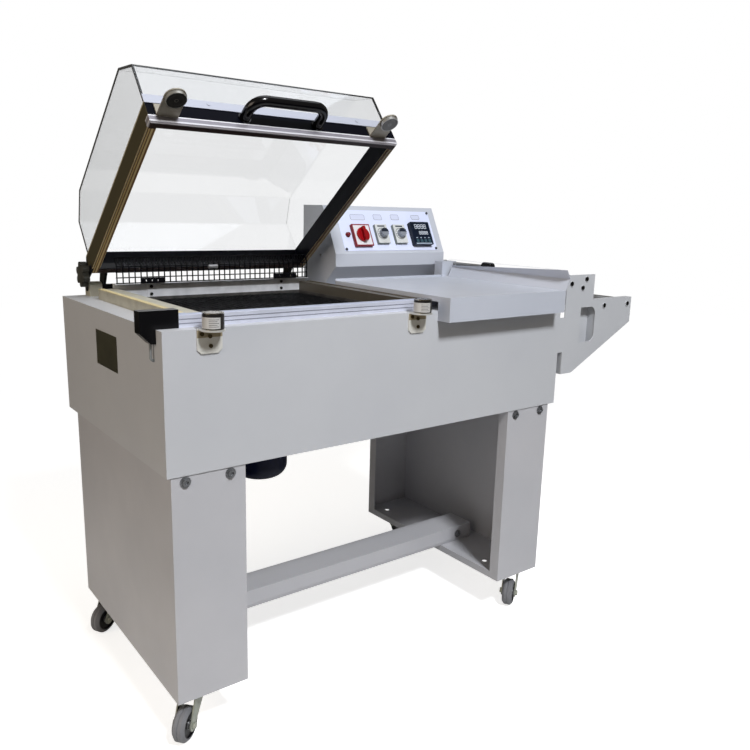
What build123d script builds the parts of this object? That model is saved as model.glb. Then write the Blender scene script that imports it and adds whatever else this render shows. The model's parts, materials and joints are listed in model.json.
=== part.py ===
"""A floor-standing L bar sealer with a shrink chamber, a work tray, a film rack and a lifting hood.

Millimetres. While it is modelled, X runs right from the cabinet's left wall, Y runs back from the
cabinet's front face and Z runs up from the floor. At the end everything moves so that the origin is
the middle of the footprint, on the floor. The lid is drawn closed and then swung open.
"""
from build123d import *
from math import atan2, cos, radians, sin
import os

# Cabinet
body_length = 1082.0
body_depth = 618.0
cabinet_height = 274.0
table_height = 845.0
sheet = 2.0
vent_count = 7
vent_length = 90.0
vent_width = 5.0
vent_pitch = 14.0
vent_first = 90.0
vent_above_floor_pan = 60.0
gland_hole_radius = 10.0
gland_setback = 70.0
gland_clearance = 0.3
gland_thread = 12.0
gland_nut = 8.0
gland_nut_radius = 14.0
gland_cap = 8.0
gland_round = 1.2
gland_bore_radius = 5.0

# Film rack, the part of the front sheet that runs past the cabinet
wing_length = 308.0
wing_drop = 198.0
wing_flat = 43.5
wing_toe_radius = 18.0
wing_tip_height = 71.0
wing_shoulder_drop = 3.0
wing_post_rise = 66.0
wing_post_width = 114.5
wing_flange = 20.0
relief_width = 18.5
relief_low_height = 60.0
relief_high_depth = 45.0
window_left = 84.0
window_width = 63.0
window_drop = 117.0
window_height = 95.0
window_radius = 20.0
stiffener_depth = 28.0
stiffener_overlap = 16.0
stiffener_reveal = 1.5
slot_flange = 26.0
rack_rear_inset = 18.0
rod_radius = 6.0
rod_clearance = 0.3
rod_offsets = (38.0, 85.0, 99.0)
rod_rises = (43.0, 31.0, 54.0)
roller_radius = 14.0
roller_bore_radius = 11.5
roller_end_gap = 4.0
roller_offsets = (183.0, 289.0)
roller_drop = 21.0
axle_radius = 6.0
axle_bore_clearance = 0.05
roller_cap = 6.0
axle_cap_gap = 0.3
axle_cap = 2.0
rod_head = 2.0
rod_head_radius = 7.5

# Legs
leg_bottom = 97.0
leg_inset = 8.6
leg_right_inset = 20.6
leg_front_inset = 2.6
leg_rear_inset = 36.3
leg_width = 153.2
leg_lip = 30.0
foot_step = 18.0
foot_hole_radius = 7.0
foot_hole_inset = 35.0
foot_hole_front = 84.0
foot_hole_rear = 54.0
hanger_drop = 30.0
hanger_margin = 10.0
hanger_thickness = 3.0
bolt_radius = 4.0
bolt_hole_clearance = 0.25
bolt_head_radius = 7.5
bolt_head_height = 5.0
bolt_recess = 3.0
washer_radius = 11.0
washer_thickness = 1.5
bolt_length = 14.0
bolt_insets = (28.0, 121.0)
bolt_drop = 13.0

# Cross beam between the legs
beam_width = 85.0
beam_height = 46.0
beam_end_gap = 38.0
beam_fold_height = 10.0
beam_fold_tuck = 3.0
beam_setback = 223.4
beam_fold_relief = 1.5
beam_bolt_inset = 52.0
beam_bolt_height = 23.0
cleat_length = 40.0
cleat_foot = 26.0

# Casters
wheel_radius = 35.5
wheel_width = 27.0
tyre_round = 6.0
tread_groove = 1.6
hub_radius = 25.0
hub_recess = 3.0
wheel_hub_radius = 9.0
wheel_hub_overhang = 2.5
wheel_bore_clearance = 0.08
caster_axle_radius = 4.0
fork_wall = 2.5
fork_gap = 3.2
fork_crown_height = 87.0
fork_crown_radius = 24.0
fork_toe_radius = 12.0
caster_trail = 36.0
caster_plate_size = 60.0
caster_plate_thickness = 3.0
caster_race_radius = 22.0
caster_race_gap = 0.4
caster_inset_side = 48.0
caster_inset_front = 43.0
axle_nut_radius = 7.0
axle_nut_height = 5.0
caster_headings = (219.0, 208.0, 213.0, 72.0)

# Table deck, seal bars and strips
deck_front_edge = 53.0
bar_front = 28.0
bar_width = 25.0
bar_left = 54.0
bar_left_width = 43.0
bar_right_width = 40.0
bar_end_share = 0.5915
bar_height = 23.0
bar_slot_width = 8.0
bar_slot_depth = 7.0
bar_groove = 1.0
bar_groove_rises = (7.0, 15.0)
strip_width = 12.0
strip_height = 1.2
baffle_back = 98.0
bar_rear_gap = 2.0

# Shrink chamber
tub_wall = 1.5
tub_depth = 184.0
tub_inlet_radius = 70.0
grid_drop = 14.0
grid_wire = 3.0
grid_wires_across = 24
grid_wires_along = 19
grid_ledge = 8.0
heater_radius = 4.0
heater_drop = 78.0
heater_inset = 30.0
heater_loop = 46.0
heater_front_gap = 40.0
heater_collar_radius = 8.0
heater_collar = 10.0
motor_radius = 65.0
motor_length = 234.0
motor_round = 32.0
motor_flange_radius = 84.0
motor_flange = 6.0
motor_hole_clearance = 4.0
shaft_radius = 6.0
shaft_rise = 46.0
impeller_radius = 62.0
impeller_height = 30.0
impeller_plate = 2.0
impeller_lift = 12.0
impeller_hub_radius = 12.0
impeller_blade = 2.0
impeller_blade_depth = 22.0
impeller_blades = 12

# Rear baffle and mesh guard
baffle_left_overlap = 8.0
baffle_right_overlap = 18.0
baffle_sheet = 1.5
baffle_rise = 35.0
baffle_flange = 21.0
baffle_seam_shares = (0.155, 0.839)
baffle_seam_gap = 0.6
baffle_screw_inset = 10.0
baffle_screw_rise = (7.0, 25.0)
mesh_wire = 2.4
mesh_columns = 37
mesh_inset = 3.0
mesh_rows = 4
mesh_row_pitch = 13.0
mesh_upright = 42.0
mesh_lean_back = 12.0
mesh_lean_up = 20.0
mesh_plate_shares = (0.113, 0.793)
mesh_plate_lengths = (59.0, 70.0)
mesh_plate_height = 13.0
mesh_plate_thickness = 2.0
mesh_plate_hole_radius = 2.5
mesh_plate_hole_shares = (0.25, 0.5, 0.75)
mesh_spring_share = 0.44
mesh_spring_length = 23.0
mesh_spring_radius = 5.0
mesh_spring_rise = 36.0

# Corner cover, its lead and the nameplate
cover_left = -29.0
cover_length = 73.0
cover_depth = 25.0
cover_drop = 26.0
cover_rise = 34.0
cover_wall = 2.5
cover_chamfer = 20.0
cover_gap = 1.0
lead_radius = 2.5
lead_out = 6.0
lead_drop = 32.0
lead_bend = 5.5
lead_clearance = 0.3
lead_depth = 14.0
plate_front = 242.0
plate_length = 129.0
plate_drop = 120.0
plate_height = 75.0
plate_thickness = 1.0
rivet_radius = 2.2
rivet_height = 1.2
rivet_inset = 6.0

# Electromagnets and their brackets
magnet_radius = 20.0
magnet_rise = 32.0
magnet_height = 30.0
magnet_pot_wall = 3.0
magnet_groove = 1.0
magnet_centre_y = -18.0
magnet_left_inset = 90.0
magnet_right_inset = 52.0
bracket_width = 50.0
bracket_height = 47.0
bracket_sheet = 3.0
bracket_chamfer = 8.0
bracket_shelf_radius = 22.0
magnet_stand = 1.0
screw_radius = 2.0
screw_head_radius = 3.8
screw_head_height = 2.4
screw_slot_width = 0.6
screw_hole_clearance = 0.2
bracket_screws = ((-16.0, 10.0), (0.0, 15.0), (1.0, 33.0))

# Control box and its panel
box_gap = 38.0
box_right_inset = 7.0
box_sheet = 1.5
box_rise = 230.0
box_top_depth = 98.0
box_nose_depth = 163.0
box_nose_top_rise = 100.0
box_nose_rise = 65.0
box_foot_depth = 95.0
box_foot_lip = 3.0
box_screw_back = 89.0
box_screw_rise = 93.0
panel_margin_left = 34.0
panel_margin_right = 23.0
panel_base = 8.0
panel_height = 124.0
panel_sheet = 1.0
panel_screw_inset = 5.0
main_plate_width = 61.0
main_plate_height = 65.0
main_plate_share = 0.194
main_plate_drop = 4.0
plate_rise = 10.0
dial_plate_width = 42.0
dial_plate_height = 57.0
dial_plate_shares = (0.406, 0.6)
controls_line = 48.0
spindle_radius = 3.0
spindle_end_gap = 1.0
main_knob_radius = 21.0
main_knob_height = 14.0
main_knob_grip_width = 9.0
main_knob_grip_height = 10.0
dial_radius = 12.5
dial_height = 14.0
dial_flutes = 12
dial_flute_radius = 1.6
knob_gap = 0.3
meter_size = 72.0
meter_base = 12.0
meter_share = 0.83
meter_rise = 14.0
meter_window_inset = 6.0
meter_window_height = 17.0
meter_window_recess = 1.2
meter_window_count = 2
meter_window_pitch = 20.0
meter_round = 3.0
key_size = 9.0
key_travel = 1.5
key_proud = 1.2
key_gap = 0.3
key_floor = 2.0
key_count = 4
key_row = 7.0
lamp_radius = 6.0
lamp_height = 9.0
lamp_bezel = 1.5
lamp_round = 3.0
lamp_gap = 6.54

# Work tray
tray_left_gap = 10.0
tray_right_inset = 35.0
tray_front = -40.0
tray_rear_gap = 40.0
tray_rise = 32.0
tray_sheet = 1.5
tray_apron = 55.0
tray_rim = 12.0
tray_back_lip = 5.0
tray_side_apron_depth = 40.0
rail_width = 24.0
rail_shares = (0.15, 0.756)
rail_end_gap = 20.0
guide_out = 16.0
guide_bend_rise = 29.0
guide_rise = 52.0
guide_rear_rise = 33.0
guide_end_gap = 15.0
lock_out = 30.0
lock_rise = 38.0
lock_rod_radius = 4.0
lock_rod_length = 162.0
lock_knob_radius = 12.0
lock_knob_length = 35.0
lock_knob_round = 2.0
lock_block_depth = 34.0
lock_block_margin = 10.0
lock_block_length = 56.0
lock_block_height = 44.0
lock_block_lap = 5.0
lock_collar_radius = 8.0
lock_collar = 3.0
lock_collar_gap = 0.5

# Lid, drawn closed
hinge_back = 18.0
hinge_rise = 19.0
lid_open_angle = 37.4
lid_left = 52.0
lid_front = 32.0
lid_back = 71.0
lid_bar = 18.0
lid_gap = 0.2
lid_seal_height = 2.6
lid_seal_width = 13.0
lid_metal_height = 15.0
lid_channel_height = 32.0
lid_channel_wall = 3.0
hood_wall = 5.0
hood_front_height = 90.0
hood_top_height = 137.0
hood_front_slope = 58.0
hood_rear_slope = 60.0
hood_rear_inset = 13.0
hood_right_inset = 10.0
clamp_strip_height = 16.0
clamp_strip_thickness = 1.5
clamp_strip_lap = 4.0
clamp_screw_shares = (0.226, 0.84)
clamp_screw_head = 1.2
handle_offset = 193.0
handle_width = 196.0
handle_reach = 64.0
handle_radius = 11.0
handle_bend = 30.0
handle_foot_radius = 13.5
handle_foot_height = 3.0
armature_width = 43.0
armature_sheet = 3.0
armature_leg = 27.0
armature_disc_radius = 20.0
armature_disc_height = 7.2
armature_gap = 0.8
armature_bolt_radius = 3.0
armature_bolt_stand = 6.0
armature_nut_radius = 6.0
armature_nut_height = 3.0
hinge_shaft_radius = 8.0
hinge_shaft_overhang = 2.0
hinge_arm_thickness = 6.0
hinge_arm_radius = 15.0
hinge_arm_gap = 2.0
hinge_block_inset = 2.0
hinge_block_width = 30.0
hinge_block_chamfer = 6.0
hinge_block_depth = 36.0
hinge_block_rise = 33.0
hinge_bore_clearance = 0.05
star_radius = 30.0
star_lobe_radius = 9.0
star_height = 15.0
star_lobes = 6
star_back = 47.0
star_rise = 39.0
star_arm_height = 20.0
star_stem_radius = 4.0
star_stem_proud = 4.0
star_gap = 2.0
star_plate_thickness = 4.0
star_hub_radius = 10.0

# Shared by all cuts, so that no cutter ends flush with what it cuts
overrun = 1.0

# Places that follow from the sizes above
body_bottom = table_height - cabinet_height
wing_left = body_length + relief_width
wing_end = body_length + wing_length
wing_bottom = table_height - wing_drop
wing_shoulder = table_height - wing_shoulder_drop
wing_post_top = table_height + wing_post_rise
window_bottom = table_height - window_drop
roller_height = table_height - roller_drop
rack_depth = body_depth - rack_rear_inset
leg_depth = body_depth - leg_front_inset - leg_rear_inset
leg_left_x = leg_inset
leg_right_x = body_length - leg_right_inset - leg_width
foot_top = leg_bottom + foot_step
beam_left = leg_left_x + sheet + beam_end_gap
beam_right = leg_right_x + leg_width - sheet - beam_end_gap
beam_front = leg_front_inset + beam_setback
bar_right_end = body_length * bar_end_share
bar_right = bar_right_end - bar_right_width
chamber_left = bar_left + bar_left_width
bar_back = bar_front + bar_width
baffle_y = body_depth - baffle_back
bar_top = table_height + bar_height
seal_plane = bar_top + strip_height
lid_bottom = seal_plane + lid_gap
lid_metal_bottom = lid_bottom + lid_seal_height
lid_channel_bottom = lid_metal_bottom + lid_metal_height
hood_bottom = lid_channel_bottom + lid_channel_height
tub_bottom = table_height - tub_depth
grid_height = table_height - grid_drop
heater_height = table_height - heater_drop
motor_x = (chamber_left + bar_right) / 2
motor_centre_y = (deck_front_edge + baffle_y) / 2
motor_bottom = tub_bottom - motor_length
cover_bottom = table_height - cover_drop
cover_top = table_height + cover_rise
plate_bottom = table_height - plate_drop
magnet_positions = (magnet_left_inset, bar_right_end - magnet_right_inset)
magnet_top = table_height + magnet_rise
disc_bottom = magnet_top + armature_gap
plate_level = disc_bottom + armature_disc_height
bracket_top = magnet_top - magnet_height - magnet_stand
box_left = bar_right_end + box_gap
box_right = body_length - box_right_inset
box_top = table_height + box_rise
box_nose_top = table_height + box_nose_top_rise
box_nose_bottom = table_height + box_nose_rise
box_screw_depth = body_depth - box_screw_back
box_screw_height = table_height + box_screw_rise
panel_width = box_right - box_left - panel_margin_left - panel_margin_right
meter_left = panel_width * meter_share - meter_size / 2
meter_bottom = panel_base + meter_base
tray_left = bar_right_end + tray_left_gap
tray_right = body_length - tray_right_inset
tray_length = tray_right - tray_left
tray_back = body_depth - box_nose_depth - tray_rear_gap
tray_top = table_height + tray_rise
hinge_y = body_depth - hinge_back
hinge_z = table_height + hinge_rise
hinge_block_top = table_height + hinge_block_rise
lid_right = bar_right_end
lid_rear = body_depth - lid_back
star_y = body_depth - star_back
star_z = table_height + star_rise


# How a solid lies on its plane: centred and standing on it, or from its corner
standing = (Align.CENTER, Align.CENTER, Align.MIN)
from_corner = (Align.MIN, Align.MIN, Align.MIN)


def block(x, y, z):
    """A box from three (low, high) pairs."""
    size = Box(x[1] - x[0], y[1] - y[0], z[1] - z[0], align=from_corner)
    return Pos(x[0], y[0], z[0]) * size


def slab(plane, points, low, high):
    """A flat outline raised between two levels along the plane's normal."""
    face = plane.offset(low) * make_face(Polyline(*points, close=True))
    return extrude(face, amount=high - low, dir=plane.z_dir)


side_plane = Plane(origin=(0, 0, 0), x_dir=(0, 1, 0), z_dir=(1, 0, 0))
front_plane = Plane(origin=(0, 0, 0), x_dir=(1, 0, 0), z_dir=(0, -1, 0))


def front_slab(points, front, back):
    """An outline of (x, z) points between two depths."""
    return slab(front_plane, points, -back, -front)


def rod(start, end, radius):
    """A round bar between two points."""
    axis = Vector(*end) - Vector(*start)
    return Plane(origin=start, z_dir=axis) * Cylinder(
        radius, axis.length, align=standing
    )


def folded(points, thickness):
    """The outline of a bent sheet whose outer side follows the points, with mitred corners."""
    inner = []
    for index, (a, b) in enumerate(points):
        before = points[index - 1] if index > 0 else None
        after = points[index + 1] if index + 1 < len(points) else None
        turns = []
        if before:
            turns.append(atan2(b - before[1], a - before[0]))
        if after:
            turns.append(atan2(after[1] - b, after[0] - a))
        heading = turns[0] if len(turns) == 1 else atan2(
            sin(turns[0]) + sin(turns[1]), cos(turns[0]) + cos(turns[1])
        )
        reach = thickness / cos(heading - turns[0])
        inner.append((a - reach * sin(heading), b + reach * cos(heading)))
    return points + inner[::-1]


def group(shapes):
    """Separate solids that share one node."""
    return Compound(children=[solid for shape in shapes for solid in shape.solids()])


def wing_outline(left):
    """The rack plate's (x, z) outline from a left edge, without its relief slots."""
    toe = wing_left + wing_flat
    return [
        (left, wing_bottom),
        (toe, wing_bottom),
        (wing_end, wing_shoulder - wing_tip_height),
        (wing_end, wing_shoulder),
        (wing_left + wing_post_width, wing_shoulder),
        (wing_left + wing_post_width, wing_post_top),
        (left, wing_post_top),
    ]


def rod_places():
    """(x, z) of the fixed rods."""
    return [(body_length + offset, table_height + rise) for offset, rise in zip(rod_offsets, rod_rises)]


def rack_holes(front, back):
    """Cutters for the rods and the roller axles through one rack plate."""
    span = (front - overrun, back + overrun)
    cuts = []
    for x, z in rod_places():
        cuts.append(rod((x, span[0], z), (x, span[1], z), rod_radius + rod_clearance))
    for offset in roller_offsets:
        x = body_length + offset
        radius = axle_radius + axle_bore_clearance
        cuts.append(rod((x, span[0], roller_height), (x, span[1], roller_height), radius))
    return cuts


def window_cutter(front, back):
    """The rack plate's window, with large rounds on its right side only."""
    left = body_length + window_left
    cutter = block((left, left + window_width), (front, back), (window_bottom, window_bottom + window_height))
    right_edges = cutter.edges().filter_by(Axis.Y).group_by(Axis.X)[-1]
    return fillet(right_edges, window_radius)


def cabinet_shell():
    """Front sheet with the rack plate in one piece, side walls and back wall, welded."""
    top = table_height
    front = block((0, body_length), (0, sheet), (body_bottom, top))
    wing = front_slab(wing_outline(body_length), 0, sheet)
    toe_edge = wing.edges().filter_by(Axis.Y).group_by(Axis.Z)[0].sort_by(Axis.X)[-1]
    wing = fillet(toe_edge, wing_toe_radius)
    low = (wing_bottom - overrun, wing_bottom + relief_low_height)
    high = (top - relief_high_depth, wing_post_top + overrun)
    for span in (low, high):
        wing -= block((body_length, wing_left), (-overrun, sheet + overrun), span)
    for cutter in rack_holes(0, sheet) + [window_cutter(-overrun, sheet + overrun)]:
        wing -= cutter
    shoulder_left = wing_left + wing_post_width
    flange = block((shoulder_left, wing_end), (0, wing_flange), (wing_shoulder - sheet, wing_shoulder))
    window_x = body_length + window_left
    brace_x = (window_x - stiffener_overlap, window_x + window_width + stiffener_reveal + sheet)
    brace_z = (window_bottom - stiffener_overlap, window_bottom + window_height)
    stiffener = block(brace_x, (stiffener_depth - sheet, stiffener_depth), brace_z)
    for web_x in (brace_x[0], brace_x[1] - sheet):
        stiffener += block((web_x, web_x + sheet), (0, stiffener_depth), brace_z)
    slot_z = (wing_bottom, wing_bottom + relief_low_height)
    stiffener += block((wing_left, wing_left + sheet), (0, slot_flange), slot_z)
    left = block((0, sheet), (0, body_depth), (body_bottom, top))
    right = block((body_length - sheet, body_length), (0, body_depth), (body_bottom, top))
    back = block((0, body_length), (body_depth - sheet, body_depth), (body_bottom, top))
    for index in range(vent_count):
        low_z = body_bottom + vent_above_floor_pan + index * vent_pitch
        for start in (vent_first, body_length - vent_first - vent_length):
            back -= block((start, start + vent_length), (body_depth - sheet - overrun, body_depth + overrun),
                          (low_z, low_z + vent_width))
    gland_z = body_bottom + vent_above_floor_pan
    gland = (body_length / 2 + gland_setback, body_depth - sheet - overrun, gland_z)
    back -= rod(gland, (gland[0], body_depth + overrun, gland_z), gland_hole_radius)
    shell = front + wing + flange + stiffener + left + right + back
    notch = block((-overrun, sheet + overrun), (bar_front - cover_gap, bar_front + cover_depth + cover_gap),
                  (cover_bottom - cover_gap, top + overrun))
    lead_z = cover_bottom - lead_drop
    lead_y = bar_front + cover_depth / 2
    hole = rod((-overrun, lead_y, lead_z), (sheet + overrun, lead_y, lead_z), lead_radius + lead_clearance)
    return shell - notch - hole


def top_deck():
    """The table sheet inside the cabinet walls, open over the chamber."""
    deck = block((sheet, body_length - sheet), (sheet, body_depth - sheet),
                 (table_height - sheet, table_height))
    cut_z = (table_height - sheet - overrun, table_height + overrun)
    deck -= block((chamber_left, bar_right), (deck_front_edge, baffle_y), cut_z)
    cover_x = (0, cover_left + cover_length + cover_gap)
    cover_y = (bar_front - cover_gap, bar_front + cover_depth + cover_gap)
    return deck - block(cover_x, cover_y, cut_z)


def floor_pan():
    """The cabinet's bottom sheet, with the hangers that the legs bolt to and the motor's hole."""
    pan = block((sheet, body_length - sheet), (sheet, body_depth - sheet), (body_bottom, body_bottom + sheet))
    hole = rod((motor_x, motor_centre_y, body_bottom - overrun),
               (motor_x, motor_centre_y, body_bottom + sheet + overrun), motor_radius + motor_hole_clearance)
    pan -= hole
    front = leg_front_inset + sheet
    rear = leg_front_inset + leg_depth - sheet
    for left in (leg_left_x, leg_right_x):
        x = (left + sheet + hanger_margin, left + leg_width - sheet - hanger_margin)
        drop = (body_bottom - hanger_drop, body_bottom)
        pan += block(x, (front, front + hanger_thickness), drop)
        pan += block(x, (rear - hanger_thickness, rear), drop)
    for start, end in leg_bolt_lines():
        pan -= rod(start, end, bolt_radius + bolt_hole_clearance)
    return pan


def leg_bolt_places():
    """(x, face y, direction) of the bolts through the legs' front and rear walls."""
    places = []
    for left in (leg_left_x, leg_right_x):
        for inset in bolt_insets:
            places.append((left + inset, leg_front_inset, 1))
            places.append((left + inset, leg_front_inset + leg_depth, -1))
    return places


def leg_bolt_lines():
    """Start and end points of the leg bolts' holes."""
    z = body_bottom - bolt_drop
    lines = []
    for x, y, way in leg_bolt_places():
        reach = sheet + hanger_thickness + overrun
        lines.append(((x, y - way * overrun, z), (x, y + way * reach, z)))
    return lines


def leg(left, opens_right):
    """A tall sheet box that is open on its inner side, with lips and a stepped foot plate."""
    front = leg_front_inset
    rear = front + leg_depth
    right = left + leg_width
    z = (leg_bottom, body_bottom)
    outer_x = (left, left + sheet) if opens_right else (right - sheet, right)
    lip_x = (right - sheet, right) if opens_right else (left, left + sheet)
    result = block(outer_x, (front, rear), z)
    result += block((left, right), (front, front + sheet), z)
    result += block((left, right), (rear - sheet, rear), z)
    result += block(lip_x, (front, front + leg_lip), z)
    result += block(lip_x, (rear - leg_lip, rear), z)
    result += block(lip_x, (front, rear), (leg_bottom, foot_top))
    foot = block((left, right), (front, rear), (foot_top - sheet, foot_top))
    hole_x = right - foot_hole_inset if opens_right else left + foot_hole_inset
    for y in (front + foot_hole_front, rear - foot_hole_rear):
        foot -= rod((hole_x, y, foot_top - sheet - overrun), (hole_x, y, foot_top + overrun),
                    foot_hole_radius)
    result += foot
    for start, end in leg_bolt_lines():
        result -= rod(start, end, bolt_radius + bolt_hole_clearance)
    bolt_x = beam_left + beam_bolt_inset if opens_right else beam_right - beam_bolt_inset
    cleat_x = (bolt_x - cleat_length / 2, bolt_x + cleat_length / 2)
    cleat_y = beam_front + sheet
    cleat = slab(side_plane, [
        (cleat_y, foot_top + beam_fold_height + beam_fold_relief),
        (cleat_y, foot_top + beam_height - sheet),
        (cleat_y + hanger_thickness, foot_top + beam_height - sheet),
        (cleat_y + hanger_thickness, foot_top + beam_fold_height + beam_fold_relief),
        (cleat_y + cleat_foot, foot_top + hanger_thickness),
        (cleat_y + cleat_foot, foot_top),
        (cleat_y + beam_fold_tuck + beam_fold_relief, foot_top),
    ], cleat_x[0], cleat_x[1])
    return result + (cleat - beam_bolt_hole(bolt_x))


def beam_bolt_hole(x):
    """The hole through the beam's front web and the cleat behind it."""
    z = foot_top + beam_bolt_height
    end = beam_front + sheet + hanger_thickness + overrun
    return rod((x, beam_front - overrun, z), (x, end, z), bolt_radius + bolt_hole_clearance)


def cross_beam():
    """A channel folded from sheet, open below, whose front web tucks in at its foot."""
    top = foot_top + beam_height
    rear = beam_front + beam_width
    points = [
        (rear, foot_top),
        (rear, top),
        (beam_front, top),
        (beam_front, foot_top + beam_fold_height),
        (beam_front + beam_fold_tuck, foot_top),
    ]
    beam = slab(side_plane, folded(points, sheet), beam_left, beam_right)
    for x in (beam_left + beam_bolt_inset, beam_right - beam_bolt_inset):
        beam -= beam_bolt_hole(x)
    return beam


def hex_bolt(face_point, way):
    """A washer, a hexagon head with a hollow and a shank that runs in from the washer's face."""
    plane = Plane(origin=face_point, x_dir=(1, 0, 0), z_dir=(0, -way, 0))
    washer = plane * Cylinder(washer_radius, washer_thickness, align=standing)
    head_plane = plane.offset(washer_thickness)
    head = extrude(head_plane * RegularPolygon(bolt_head_radius, 6), amount=bolt_head_height)
    head -= head_plane.offset(bolt_head_height - bolt_recess) * Cylinder(
        bolt_radius, bolt_recess + overrun, align=standing)
    shank = plane.offset(-bolt_length) * Cylinder(
        bolt_radius, bolt_length, align=standing)
    return shank + washer + head


def leg_bolts():
    """Bolts that hold the legs to the hangers and the beam to its cleats."""
    z = body_bottom - bolt_drop
    bolts = [hex_bolt((x, y, z), way) for x, y, way in leg_bolt_places()]
    for x in (beam_left + beam_bolt_inset, beam_right - beam_bolt_inset):
        bolts.append(hex_bolt((x, beam_front, foot_top + beam_bolt_height), 1))
    return group(bolts)


def caster_places():
    """(name, x, y, heading) of the four swivels."""
    left = leg_left_x + caster_inset_side
    right = leg_right_x + leg_width - caster_inset_side
    front = leg_front_inset + caster_inset_front
    rear = leg_front_inset + leg_depth - caster_inset_front
    names = ("front_left", "rear_left", "front_right", "rear_right")
    spots = ((left, front), (left, rear), (right, front), (right, rear))
    return [(name, x, y, heading) for name, (x, y), heading in zip(names, spots, caster_headings)]


def caster_top():
    """Height of the face that the caster plates bolt to."""
    return foot_top - sheet


def caster_plates():
    """The square plates and swivel races under the legs."""
    plates = []
    for name, x, y, heading in caster_places():
        top = caster_top()
        half = caster_plate_size / 2
        under = top - caster_plate_thickness
        plate = block((x - half, x + half), (y - half, y + half), (under, top))
        race_low = fork_crown_height + fork_wall + caster_race_gap
        plate += rod((x, y, race_low), (x, y, under), caster_race_radius)
        plates.append(plate)
    return group(plates)


def fork_cheek(side):
    """One cheek of a fork in the heading's frame: x along the trail, y across."""
    inner = wheel_width / 2 + fork_gap
    low = inner if side > 0 else -inner - fork_wall
    crown = fork_crown_height + fork_wall
    outline = make_face(Polyline(
        (-fork_crown_radius, crown), (fork_crown_radius, crown),
        (caster_trail + fork_toe_radius, wheel_radius),
        (caster_trail, wheel_radius - fork_toe_radius),
        (caster_trail - fork_toe_radius, wheel_radius), close=True))
    outline += Pos(caster_trail, wheel_radius) * Circle(fork_toe_radius)
    standing = Plane(origin=(0, low + fork_wall, 0), x_dir=(1, 0, 0), z_dir=(0, -1, 0))
    return extrude(standing * outline, amount=fork_wall)


def caster_fork(x, y, heading):
    """A crown plate, two cheeks and the axle bolt with its nut."""
    half = wheel_width / 2 + fork_gap + fork_wall
    crown = block((-fork_crown_radius, fork_crown_radius), (-half, half),
                  (fork_crown_height, fork_crown_height + fork_wall))
    fork = crown + fork_cheek(1) + fork_cheek(-1)
    tip = half + axle_nut_height
    fork += rod((caster_trail, -tip, wheel_radius), (caster_trail, tip, wheel_radius), caster_axle_radius)
    for side in (-1, 1):
        nut_plane = Plane(origin=(caster_trail, side * half, wheel_radius), x_dir=(1, 0, 0),
                          z_dir=(0, side, 0))
        fork += extrude(nut_plane * RegularPolygon(axle_nut_radius, 6), amount=axle_nut_height)
    return Pos(x, y, 0) * Rot(0, 0, heading) * fork


def caster_wheel(x, y, heading):
    """A grey tyre with a tread groove on a dished hub."""
    half = wheel_width / 2
    step = half - hub_recess
    bore = caster_axle_radius + wheel_bore_clearance
    boss = half + wheel_hub_overhang
    shoulder = wheel_radius - tyre_round
    points = [
        (bore, -boss), (wheel_hub_radius, -boss), (wheel_hub_radius, -step), (hub_radius, -step),
        (hub_radius, -half), (shoulder, -half), (wheel_radius, -half + tyre_round),
        (wheel_radius, -tread_groove), (wheel_radius - tread_groove, 0), (wheel_radius, tread_groove),
        (wheel_radius, half - tyre_round), (shoulder, half), (hub_radius, half), (hub_radius, step),
        (wheel_hub_radius, step), (wheel_hub_radius, boss), (bore, boss),
    ]
    profile = Plane.XY * make_face(Polyline(*points, close=True))
    wheel = revolve(profile, Axis.Y)
    return Pos(x, y, 0) * Rot(0, 0, heading) * Pos(caster_trail, 0, wheel_radius) * wheel


def around(middle, width):
    """The (low, high) pair of a width about its middle."""
    return middle - width / 2, middle + width / 2


def slotted_bar(x, y, along_x, line):
    """An aluminium bar on the deck with a slot for its strip and two grooves along its outer face."""
    bar = block(x, y, (table_height, bar_top))
    slot_z = (bar_top - bar_slot_depth, bar_top)
    across = around(line, bar_slot_width)
    bar -= block(x, across, slot_z) if along_x else block(across, y, slot_z)
    if along_x:
        for rise in bar_groove_rises:
            z = (table_height + rise, table_height + rise + bar_groove)
            bar -= block(x, (y[0], y[0] + bar_groove), z)
    return bar


def bar_spans():
    """The (x, y, runs along x) spans of the front, right and left bars."""
    rear = baffle_y - bar_rear_gap
    return (
        ((cover_left + cover_length, bar_right_end), (bar_front, bar_back), True),
        ((bar_right, bar_right_end), (bar_back, rear), False),
        ((bar_left, chamber_left), (bar_back, rear), False),
    )


def strip_on(x, y, along_x, line):
    """A T-shaped strip: its tongue fills the bar's slot and its cap stands proud."""
    cap_z = (bar_top, seal_plane)
    tongue_z = (bar_top - bar_slot_depth, bar_top)
    cap = around(line, strip_width)
    tongue = around(line, bar_slot_width)
    if along_x:
        return block(x, cap, cap_z) + block(x, tongue, tongue_z)
    return block(cap, y, cap_z) + block(tongue, y, tongue_z)


def chamber_tub():
    """The open steel box under the deck opening, with the fan's inlet and a ledge for the grid."""
    x = (chamber_left, bar_right)
    y = (deck_front_edge, baffle_y)
    tub = block(x, y, (tub_bottom, table_height))
    tub -= block((x[0] + tub_wall, x[1] - tub_wall), (y[0] + tub_wall, y[1] - tub_wall),
                 (tub_bottom + tub_wall, table_height + overrun))
    tub -= rod((motor_x, motor_centre_y, tub_bottom - overrun),
               (motor_x, motor_centre_y, tub_bottom + tub_wall + overrun), tub_inlet_radius)
    ledge_z = (grid_height - tub_wall, grid_height)
    for y_span in ((y[0], y[0] + tub_wall + grid_ledge), (y[1] - tub_wall - grid_ledge, y[1])):
        tub += block(x, y_span, ledge_z)
    return tub


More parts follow.
